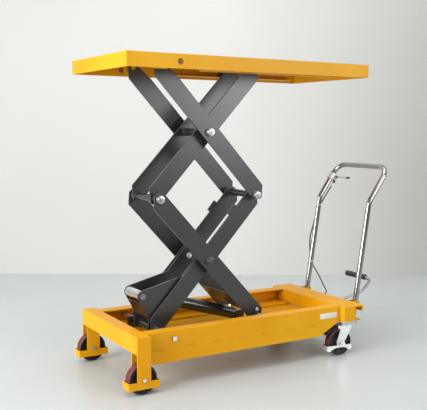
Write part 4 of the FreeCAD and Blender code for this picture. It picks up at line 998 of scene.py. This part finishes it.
# ------------------------------------------------------------------ plugs, caps and pin ends
PLUG_PROFILE = [
    (0, -0.0034), (0.0129, -0.0034), (0.0129, -0.0012), (0.0112, -0.0012),
    (0.0100, -0.0022), (0.0030, -0.0022), (0.0022, -0.0016), (0, -0.0016),
]
AXLE_CAP_PROFILE = [
    (0, 0), (0.0115, 0), (0.0120, 0.0006), (0.0120, 0.0022), (0.0106, 0.0032),
    (0.0042, 0.0032), (0.0034, 0.0022), (0, 0.0022),
]
STUB_PROFILE = [
    (0, 0), (0.0125, 0), (0.0132, 0.0008), (0.0132, 0.0026), (0.0120, 0.0036),
    (0.0085, 0.0036), (0.0078, 0.0028), (0.0030, 0.0028), (0, 0.0028),
]
TIP_CAP_PROFILE = [
    (0, 0), (0.0128, 0), (0.0133, 0.0006), (0.0133, 0.0016), (0.0102, 0.0016),
    (0.0102, 0.0030), (0.0090, 0.0040), (0.0030, 0.0040), (0.0024, 0.0030), (0, 0.0030),
]
ARM_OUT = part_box("lower_outer_arm_right")[1].y
AXLE_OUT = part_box("lower_roller_axles")[1].y
TIP_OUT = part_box("lever_plate_right")[1].y
STUB_Y = 0.0614
CAP_GAP = 0.0001  # keeps a cap's foot off the face under it

# recessed plugs in the two holes of the platform skirt, coloured like the shade inside a hole:
# painted shade
for side, sign in SIDES:
    lathe("skirt_plug_" + side, PLUG_PROFILE, at(236, sign * 305, 1348), (0, sign, 0), HOLE_SHADE_PLUG,
          "platform", sharp=28)

# lock screws in the outer arms by the bed rollers, and end caps on the roller axles
for side, sign in SIDES:
    fastener("roller_lock_screw_" + side,
             (BED_ROLLER.x + 0.002, sign * (ARM_OUT + 0.0061), BED_ROLLER.z + 0.042),
             (0, sign, 0), "lower_outer", flats=0.013, height=0.0055, washer=0.0085,
             washer_h=0.0012)
    lathe("roller_axle_cap_" + side, AXLE_CAP_PROFILE,
          (BED_ROLLER.x, sign * (AXLE_OUT + CAP_GAP), BED_ROLLER.z), (0, sign, 0), PIN,
          "lower_outer", sides=36)

# bright stub ends of the lower cross pins, facing the table's middle
for side, sign in SIDES:
    lathe("cross_stub_" + side, STUB_PROFILE, (LOWER_CROSS.x, sign * STUB_Y, LOWER_CROSS.z),
          (0, -sign, 0), ZINC, "lower_inner", sides=36)

# grooved pin ends at the lever tip, and beads round the foot tube outside the lever plates
for side, sign in SIDES:
    lathe("lever_tip_cap_" + side, TIP_CAP_PROFILE,
          (LEVER_TIP.x, sign * (TIP_OUT + CAP_GAP), LEVER_TIP.z), (0, sign, 0), STEEL,
          "lower_inner", sides=36)
ring_welds("welds_lever_tube", FOOT.x, TIP_OUT + 0.0003, FOOT.z, FOOT_WELD_R, "lower_inner",
           radius=0.0026)

# ------------------------------------------------------------------ cylinder fittings
CYLINDER_BASE = at(690, 0, 200)
ROD_WAY = (LEVER_TIP - CYLINDER_BASE).normalized()
OFF_BARREL = Vector((-ROD_WAY.z, 0, ROD_WAY.x))  # square to the barrel, on its upper side
if ROD_WAY.x <= 0:
    OFF_BARREL.negate()
PORT = CYLINDER_BASE + ROD_WAY * 0.047 + OFF_BARREL * 0.0272
ELBOW_RISE = 0.024  # port up to the elbow's lower leg
GLAND_PROFILE = [
    (0.0163, 0), (0.0260, 0), (0.0266, 0.0006), (0.0266, 0.0024), (0.0250, 0.0032),
    (0.0200, 0.0032), (0.0192, 0.0042), (0.0163, 0.0042),
]

fastener("cylinder_port", PORT, OFF_BARREL, "barrel", flats=0.020, height=0.009,
         material=BRASS)
ELBOW_TOP = PORT + OFF_BARREL * ELBOW_RISE
elbow = [PORT + OFF_BARREL * 0.008, PORT + OFF_BARREL * 0.021,
         ELBOW_TOP - ROD_WAY * 0.004, ELBOW_TOP - ROD_WAY * 0.020]
tube("cylinder_elbow", path(elbow, radii=[0.004, 0.003], step=0.002), 0.0062, BRASS, "barrel",
     sides=18)
fastener("cylinder_elbow_nut", ELBOW_TOP - ROD_WAY * 0.017, -ROD_WAY, "barrel",
         flats=0.0165, height=0.008, material=BRASS)
# ring at the rod end of the barrel
lathe("gland_ring", GLAND_PROFILE, CYLINDER_BASE + ROD_WAY * 0.3522, ROD_WAY, ZINC, "barrel",
      sides=48, closed=True)

# ------------------------------------------------------------------ pump fittings
TANK_CAP_PROFILE = [
    (0, 0), (0.0300, 0), (0.0305, 0.0008), (0.0300, 0.0026), (0.0220, 0.0052),
    (0.0090, 0.0060), (0.0085, 0.0085), (0, 0.0085),
]
HOSE_FERRULE_PROFILE = [
    (0.0062, 0), (0.0082, 0), (0.0086, 0.0006), (0.0086, 0.0120), (0.0080, 0.0126),
    (0.0072, 0.0200), (0.0062, 0.0205),
]
HOSE_END_PROFILE = [
    (0.0062, 0), (0.0080, 0), (0.0084, 0.0006), (0.0084, 0.0100), (0.0076, 0.0106),
    (0.0062, 0.0150),
]
HOSE_RUN = [at(1115.9, 42, 110), at(1090, 42, 110), at(1070, 44, 140), at(745, 40, 140),
            at(745, 40, 196), at(716, 24, 202)]

fastener("pump_filler", at(1180, 30, 149.8), (0, 0, 1), "bed", flats=0.014, height=0.006,
         washer=0.0095)
fastener("pump_relief", at(1140, -45, 104), (0, -1, 0), "bed", flats=0.013, height=0.006,
         washer=0.0085)
lathe("tank_cap", TANK_CAP_PROFILE, at(966.2, 0, 112), (-1, 0, 0), GLOSS_BLACK, "bed",
      sides=48)
lathe("hose_ferrule", HOSE_FERRULE_PROFILE, HOSE_RUN[0], (-1, 0, 0), BRASS, "bed",
      sides=30, closed=True)
lathe("hose_end", HOSE_END_PROFILE, HOSE_RUN[-1], Vector((29, 16, -6)), BRASS, "bed",
      sides=30, closed=True)


# ------------------------------------------------------------------ label
def label(corner_r=0.003, depth=0.00055, arc_steps=6):
    """Blank plate with rounded corners in the xz plane, on the CAD label's +y face."""
    low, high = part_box("blank_label")
    half_x, half_z = (high.x - low.x) / 2, (high.z - low.z) / 2
    centre = Vector(((low.x + high.x) / 2, high.y + 0.00005, (low.z + high.z) / 2))
    loop = []
    for sign_x, sign_z, start in ((1, 1, 0), (-1, 1, 90), (-1, -1, 180), (1, -1, 270)):
        for k in range(arc_steps + 1):
            angle = math.radians(start + 90 * k / arc_steps)
            loop.append((sign_x * (half_x - corner_r) + math.cos(angle) * corner_r,
                         sign_z * (half_z - corner_r) + math.sin(angle) * corner_r))
    mesh = bmesh.new()
    rows = []
    for sink, inset in ((0, 0), (depth * 0.7, 0), (depth, depth * 0.4)):
        shrink_x, shrink_z = 1 - inset / half_x, 1 - inset / half_z
        rows.append([mesh.verts.new(centre + Vector((x * shrink_x, -sink, z * shrink_z)))
                     for x, z in loop])
    for first, second in zip(rows[:-1], rows[1:]):
        ring_faces(mesh, first, second)
    mesh.faces.new(rows[0][::-1])
    mesh.faces.new(rows[-1])
    finish("label_blank", mesh, FILM, "bed", 40, ("blank_label",))


label()

# ------------------------------------------------------------------ handle, hose and cable
HANDLE_Y = 200  # half the spacing of the handle's legs, mm
LEG_FOOT_X, LEG_FOOT_Z = 1240, 168
LEG_BEND_X, LEG_BEND_Z = 1328, 720
HANDLE_RUN = [
    at(LEG_FOOT_X, -HANDLE_Y, LEG_FOOT_Z), at(LEG_BEND_X, -HANDLE_Y, LEG_BEND_Z),
    at(1450, -HANDLE_Y, 890), at(1450, HANDLE_Y, 890),
    at(LEG_BEND_X, HANDLE_Y, LEG_BEND_Z), at(LEG_FOOT_X, HANDLE_Y, LEG_FOOT_Z),
]
# the cable's corners in the drawing (x, y, z), mm
CABLE_POINTS = (
    (1413, 200, 784), (1338, 208, 676), (1318, 221, 620), (1276, 216, 500), (1281, 220, 376),
    (1316, 190, 300), (1322, 120, 215), (1216, 60, 180), (1204.5, 34, 120),
)
CABLE_RUN = [at(*point) for point in CABLE_POINTS]
CABLE_BENDS = [0.050, 0.060, 0.060, 0.060, 0.040, 0.028, 0.040]
FERRULE_PROFILE = [
    (0.0033, 0), (0.0050, 0), (0.0053, 0.0005), (0.0053, 0.0090), (0.0046, 0.0096),
    (0.0044, 0.0140), (0.0033, 0.0145),
]

handle_path = path(HANDLE_RUN, radii=[0.090, 0.064, 0.064, 0.090], step=0.004)
tube("handle_tube", handle_path, 0.0135, CHROME, "bed", sides=40, sharp=50,
     replaces=("handle_bow",))
hose_path = path(HOSE_RUN, radii=[0.008, 0.018, 0.014, 0.014], step=0.003)
# every second ring is a little wider, like braid
tube("hose_sheath", even(hose_path, 0.0016), lambda i, _: 0.0058 + 0.0002 * (i % 2), RUBBER,
     "bed", sides=18, replaces=("hydraulic_hose",))
cable_path = path(CABLE_RUN, CABLE_BENDS, step=0.004)
tube("cable_sheath", even(cable_path, 0.003), 0.0032, RUBBER, "bed",
     sides=14, replaces=("release_cable",))


def tie(name, tube_centre, cable_centre):
    """Strap round the handle tube and the cable, with its square lock."""
    tube_r, cable_r = 0.0144, 0.0040  # strap's middle round the tube and the cable
    half_thick, half_width = 0.0006, 0.0022
    lock_out = 0.0162
    lock_half = Vector((0.0034, 0.0026, 0.0032))
    ahead = cable_centre - tube_centre
    ahead.z = 0
    gap = ahead.length
    ahead.normalize()
    sideways = Vector((0, 0, 1)).cross(ahead)
    loop = []
    for k in range(25):
        angle = math.pi / 2 + math.pi * k / 24
        loop.append(tube_centre + ray(ahead, sideways, angle) * tube_r)
    for k in range(17):
        angle = -math.pi / 2 + math.pi * k / 16
        loop.append(tube_centre + ahead * gap + ray(ahead, sideways, angle) * cable_r)
    mesh = bmesh.new()
    rows = []
    for i, point in enumerate(loop):
        along = loop[(i + 1) % len(loop)] - loop[i - 1]
        out = Vector((along.y, -along.x, 0)).normalized()
        section = ((-half_thick, -half_width), (half_thick, -half_width),
                   (half_thick, half_width), (-half_thick, half_width))
        rows.append([mesh.verts.new(point + out * offset + Vector((0, 0, height)))
                     for offset, height in section])
    for i, row in enumerate(rows):
        ring_faces(mesh, row, rows[(i + 1) % len(rows)])
    lock = tube_centre + sideways * lock_out
    low, high = lock - lock_half, lock + lock_half
    add_box(mesh, [(x, y, z) for x in (low.x, high.x) for y in (low.y, high.y)
                   for z in (low.z, high.z)])
    finish(name, mesh, TIE, "bed", 35)


# each tie sits at a corner of the cable, on the handle's right leg
for name, corner in (("tie_upper", 1), ("tie_lower", 4)):
    z = CABLE_POINTS[corner][2]
    rise = LEG_BEND_Z - LEG_FOOT_Z
    leg_x = LEG_FOOT_X + (LEG_BEND_X - LEG_FOOT_X) * (z - LEG_FOOT_Z) / rise
    tie(name, at(leg_x, HANDLE_Y, z), CABLE_RUN[corner])
lathe("cable_ferrule", FERRULE_PROFILE, CABLE_RUN[0], CABLE_RUN[1] - CABLE_RUN[0], ZINC,
      "bed", sides=28, closed=True)

# ------------------------------------------------------------------ lowering lever
LEAN = math.atan2(122, 170)  # lever's run over its rise
LEVER_X = Vector((math.cos(LEAN), 0, -math.sin(LEAN)))
LEVER_Z = Vector((math.sin(LEAN), 0, math.cos(LEAN)))
HINGE = pivot("lowering_lever_pivot")
SLEEVE_PROFILE = [
    (0.0030, 0), (0.0036, 0), (0.0038, 0.0004), (0.0038, 0.0766), (0.0036, 0.0770),
    (0.0030, 0.0770),
]
HINGE_PROFILE = [
    (0, 0), (0.0044, 0), (0.0048, 0.0006), (0.0048, 0.0020), (0.0038, 0.0030), (0, 0.0030),
]

lathe("finger_rod_sleeve", SLEEVE_PROFILE,
      HINGE + LEVER_X * 0.0015 + LEVER_Z * 0.018 + Vector((0, -0.0085, 0)), (0, -1, 0), ZINC,
      "lowering_lever", sides=28, closed=True)
for part, sign in (("pin", -1), ("nut", 1)):
    lathe("lever_hinge_" + part, HINGE_PROFILE, HINGE + Vector((0, sign * 0.0090, 0)),
          (0, sign, 0), ZINC, "bed", sides=28)
fastener("clamp_screw", at(1403.35, 200, 825) - LEVER_X * 0.0190, -LEVER_X, "bed",
         flats=0.008, height=0.004, washer=0.0058, washer_h=0.001)


# ------------------------------------------------------------------ foot pedal grip
def pedal_grip():
    """Ribbed sleeve with a collar at each end, along y."""
    bore_r, waist_r, rib_r, collar_r = 0.0068, 0.0126, 0.0139, 0.0140
    low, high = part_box("foot_pedal_grip")
    profile = [(bore_r, low.y), (0.0125, low.y), (collar_r, low.y + 0.0015),
               (collar_r, low.y + 0.005), (waist_r, low.y + 0.0065)]
    y = low.y + 0.0065
    while y < high.y - 0.012:
        profile += [(waist_r, y + 0.0018), (rib_r, y + 0.0027), (rib_r, y + 0.0047),
                    (waist_r, y + 0.0056)]
        y += 0.0058
    profile += [(waist_r, high.y - 0.005), (collar_r, high.y - 0.0035),
                (collar_r, high.y - 0.0012), (0.0128, high.y), (bore_r, high.y)]
    lathe("pedal_grip_sleeve", profile, ((low.x + high.x) / 2, 0, (low.z + high.z) / 2),
          (0, 1, 0), RUBBER, "pedal", sides=36, closed=True, sharp=26,
          replaces=("foot_pedal_grip",))


pedal_grip()

# ------------------------------------------------------------------ camera
YAW, PITCH, ROLL = 0.566, -0.09, 0.005  # radians; yaw turns from +y towards +x
FORWARD = Vector((math.sin(YAW) * math.cos(PITCH), math.cos(YAW) * math.cos(PITCH),
                  math.sin(PITCH)))
RIGHT = Vector((math.cos(YAW), -math.sin(YAW), 0))


def add_camera():
    data = bpy.data.cameras.new("camera")
    obj = bpy.data.objects.new("camera", data)
    scene.collection.objects.link(obj)
    up = RIGHT.cross(FORWARD)
    rolled_right = RIGHT * math.cos(ROLL) + up * math.sin(ROLL)
    rolled_up = up * math.cos(ROLL) - RIGHT * math.sin(ROLL)
    turn = Matrix((rolled_right, rolled_up, -FORWARD)).transposed()
    place = at(-1244.989, -3186.139, 1081.977)
    obj.matrix_world = Matrix.Translation(place) @ turn.to_4x4()
    data.sensor_width = 36.0
    data.sensor_fit = "HORIZONTAL"
    data.lens = 66.853518
    data.shift_x = -0.09371897
    data.shift_y = -0.012456674
    data.clip_end = 60
    scene.camera = obj
    return obj


camera = add_camera()


# ------------------------------------------------------------------ floor and wall
def stage_plane(name, corners, material):
    mesh = bmesh.new()
    mesh.faces.new([mesh.verts.new(corner) for corner in corners])
    link_mesh(name, mesh, [material])


def floor_paint():
    paint = Paint("floor_paint")
    drift = paint.noise(scale=0.8, detail=3.0)
    tone = paint.ramp(drift, (0.3, (0.50, 0.535, 0.54)), (0.7, (0.55, 0.585, 0.588)))
    cloud = paint.noise(scale=30.0, detail=5.0)
    tone = paint.mix(tone, (0.45, 0.46, 0.46), cloud, amount=0.05)
    roughness = paint.scaled(paint.noise(scale=6.0, detail=4.0), by=0.12, plus=0.26)
    paint.set(Base_Color=tone, Roughness=roughness, Specular_IOR_Level=0.35)
    return paint.material


def wall_paint():
    """Pale paint, shaded across the view, and clear when seen from behind."""
    paint = Paint("wall_paint")
    drift = paint.noise(scale=0.5, detail=2.0)
    tone = paint.ramp(drift, (0.3, (0.62, 0.62, 0.605)), (0.7, (0.65, 0.65, 0.635)))
    along = paint.dot(paint.coords, RIGHT)
    from_camera = paint.calc("SUBTRACT", along, camera.location.dot(RIGHT))
    # 0 to 1 over four metres, with the camera's axis at 0.5
    across = paint.calc("MULTIPLY_ADD", from_camera, 0.25, 0.5, clamp=True)
    shade = paint.ramp(across, (0.05, (0.93, 0.94, 0.94)), (0.45, (1.0, 1.0, 1.0)),
                       (0.62, (0.90, 0.90, 0.895)), (0.80, (0.74, 0.745, 0.735)))
    tone = paint.mix(tone, shade, mask=1.0, blend="MULTIPLY")
    paint.set(Base_Color=tone, Roughness=0.9)
    geometry = paint.add("ShaderNodeNewGeometry")
    clear = paint.add("ShaderNodeBsdfTransparent")
    either = paint.add("ShaderNodeMixShader")
    paint.plug(either.inputs[0], geometry.outputs["Backfacing"])
    paint.plug(either.inputs[1], paint.surface.outputs["BSDF"])
    paint.plug(either.inputs[2], clear.outputs["BSDF"])
    paint.feed(paint.output, Surface=either.outputs["Shader"])
    return paint.material


FLOOR_HALF = 14
FLOOR_Z = -0.0005
WALL_AWAY = 5.80  # level distance from the camera
WALL_SIDE = RIGHT * 9
WALL_BELOW = Vector((0, 0, 0.1))
WALL_ABOVE = Vector((0, 0, 6))

stage_plane("floor", [(x * FLOOR_HALF, y * FLOOR_HALF, FLOOR_Z)
                      for x, y in ((-1, -1), (1, -1), (1, 1), (-1, 1))], floor_paint())
wall_foot = Vector((camera.location.x, camera.location.y, 0))
wall_foot += Vector((math.sin(YAW), math.cos(YAW), 0)) * WALL_AWAY
stage_plane("wall", [wall_foot - WALL_SIDE - WALL_BELOW, wall_foot + WALL_SIDE - WALL_BELOW,
                     wall_foot + WALL_SIDE + WALL_ABOVE, wall_foot - WALL_SIDE + WALL_ABOVE],
            wall_paint())


# ------------------------------------------------------------------ lights
def area_light(name, place, target, width, height, power, colour):
    data = bpy.data.lights.new(name, "AREA")
    data.energy = power
    data.color = colour
    data.shape = "RECTANGLE"
    data.size = width
    data.size_y = height
    obj = bpy.data.objects.new(name, data)
    scene.collection.objects.link(obj)
    obj.location = place
    look = Vector(target) - Vector(place)
    obj.rotation_euler = look.to_track_quat("-Z", "Y").to_euler()
    return obj


area_light("key_window", place=(-4.3, -0.7, 1.75), target=(-0.1, 0.0, 0.7), width=2.8,
           height=2.2, power=215, colour=(1.0, 0.99, 0.965))
area_light("top_soft", place=(0.2, -0.6, 4.2), target=(0.0, 0.0, 0.5), width=4.0,
           height=3.0, power=95, colour=(1.0, 1.0, 1.0))
area_light("front_fill", place=(1.9, -4.6, 2.25), target=(0.0, 0.0, 0.7), width=3.0,
           height=1.8, power=46, colour=(0.97, 0.985, 1.0))
# without diffuse light, where the upper arms' faces mirror the camera's line of sight
upper_arms = Vector((0.08, -0.15, 1.12))
sight = (upper_arms - camera.location).normalized()
mirror_sight = Vector((sight.x, -sight.y, sight.z))
sheen = area_light("arm_sheen", place=upper_arms + mirror_sight * 3.2 + Vector((0, 0, 0.35)),
                   target=upper_arms, width=1.5, height=1.1, power=34,
                   colour=(0.94, 0.97, 1.0))
sheen.visible_diffuse = False


# ------------------------------------------------------------------ world
def studio():
    """Soft sky, a darker horizon band in reflections and plain grey to the camera."""
    world = bpy.data.worlds.new("studio")
    scene.world = world
    world.use_nodes = True
    shader = Shader(world.node_tree)
    output = shader.add("ShaderNodeOutputWorld")
    background = shader.add("ShaderNodeBackground")
    shader.feed(output, Surface=background.outputs["Background"])
    direction = shader.add("ShaderNodeTexCoord").outputs["Generated"]
    height = shader.add("ShaderNodeSeparateXYZ", Vector=direction).outputs["Z"]

    def by_height(*stops):
        """Ramp from straight down (0) to straight up (1)."""
        return shader.ramp(shader.scaled(height, by=0.5, plus=0.5), *stops)

    sky = by_height((0.30, (0.30, 0.29, 0.28)), (0.50, (0.50, 0.50, 0.49)),
                    (0.62, (0.80, 0.80, 0.79)), (1.0, (0.95, 0.95, 0.95)))
    band = by_height((0.30, (0.20, 0.185, 0.17)), (0.47, (0.12, 0.110, 0.10)),
                     (0.53, (0.38, 0.37, 0.35)), (0.60, (0.85, 0.84, 0.82)),
                     (1.0, (0.95, 0.95, 0.95)))
    rays = shader.add("ShaderNodeLightPath")
    colour = shader.mix(sky, band, rays.outputs["Is Glossy Ray"])
    colour = shader.mix(colour, (0.86, 0.865, 0.86), rays.outputs["Is Camera Ray"])
    shader.feed(background, Color=colour, Strength=0.62)


studio()

scene.view_settings.view_transform = "Standard"
scene.view_settings.look = "None"
scene.view_settings.exposure = 0.0
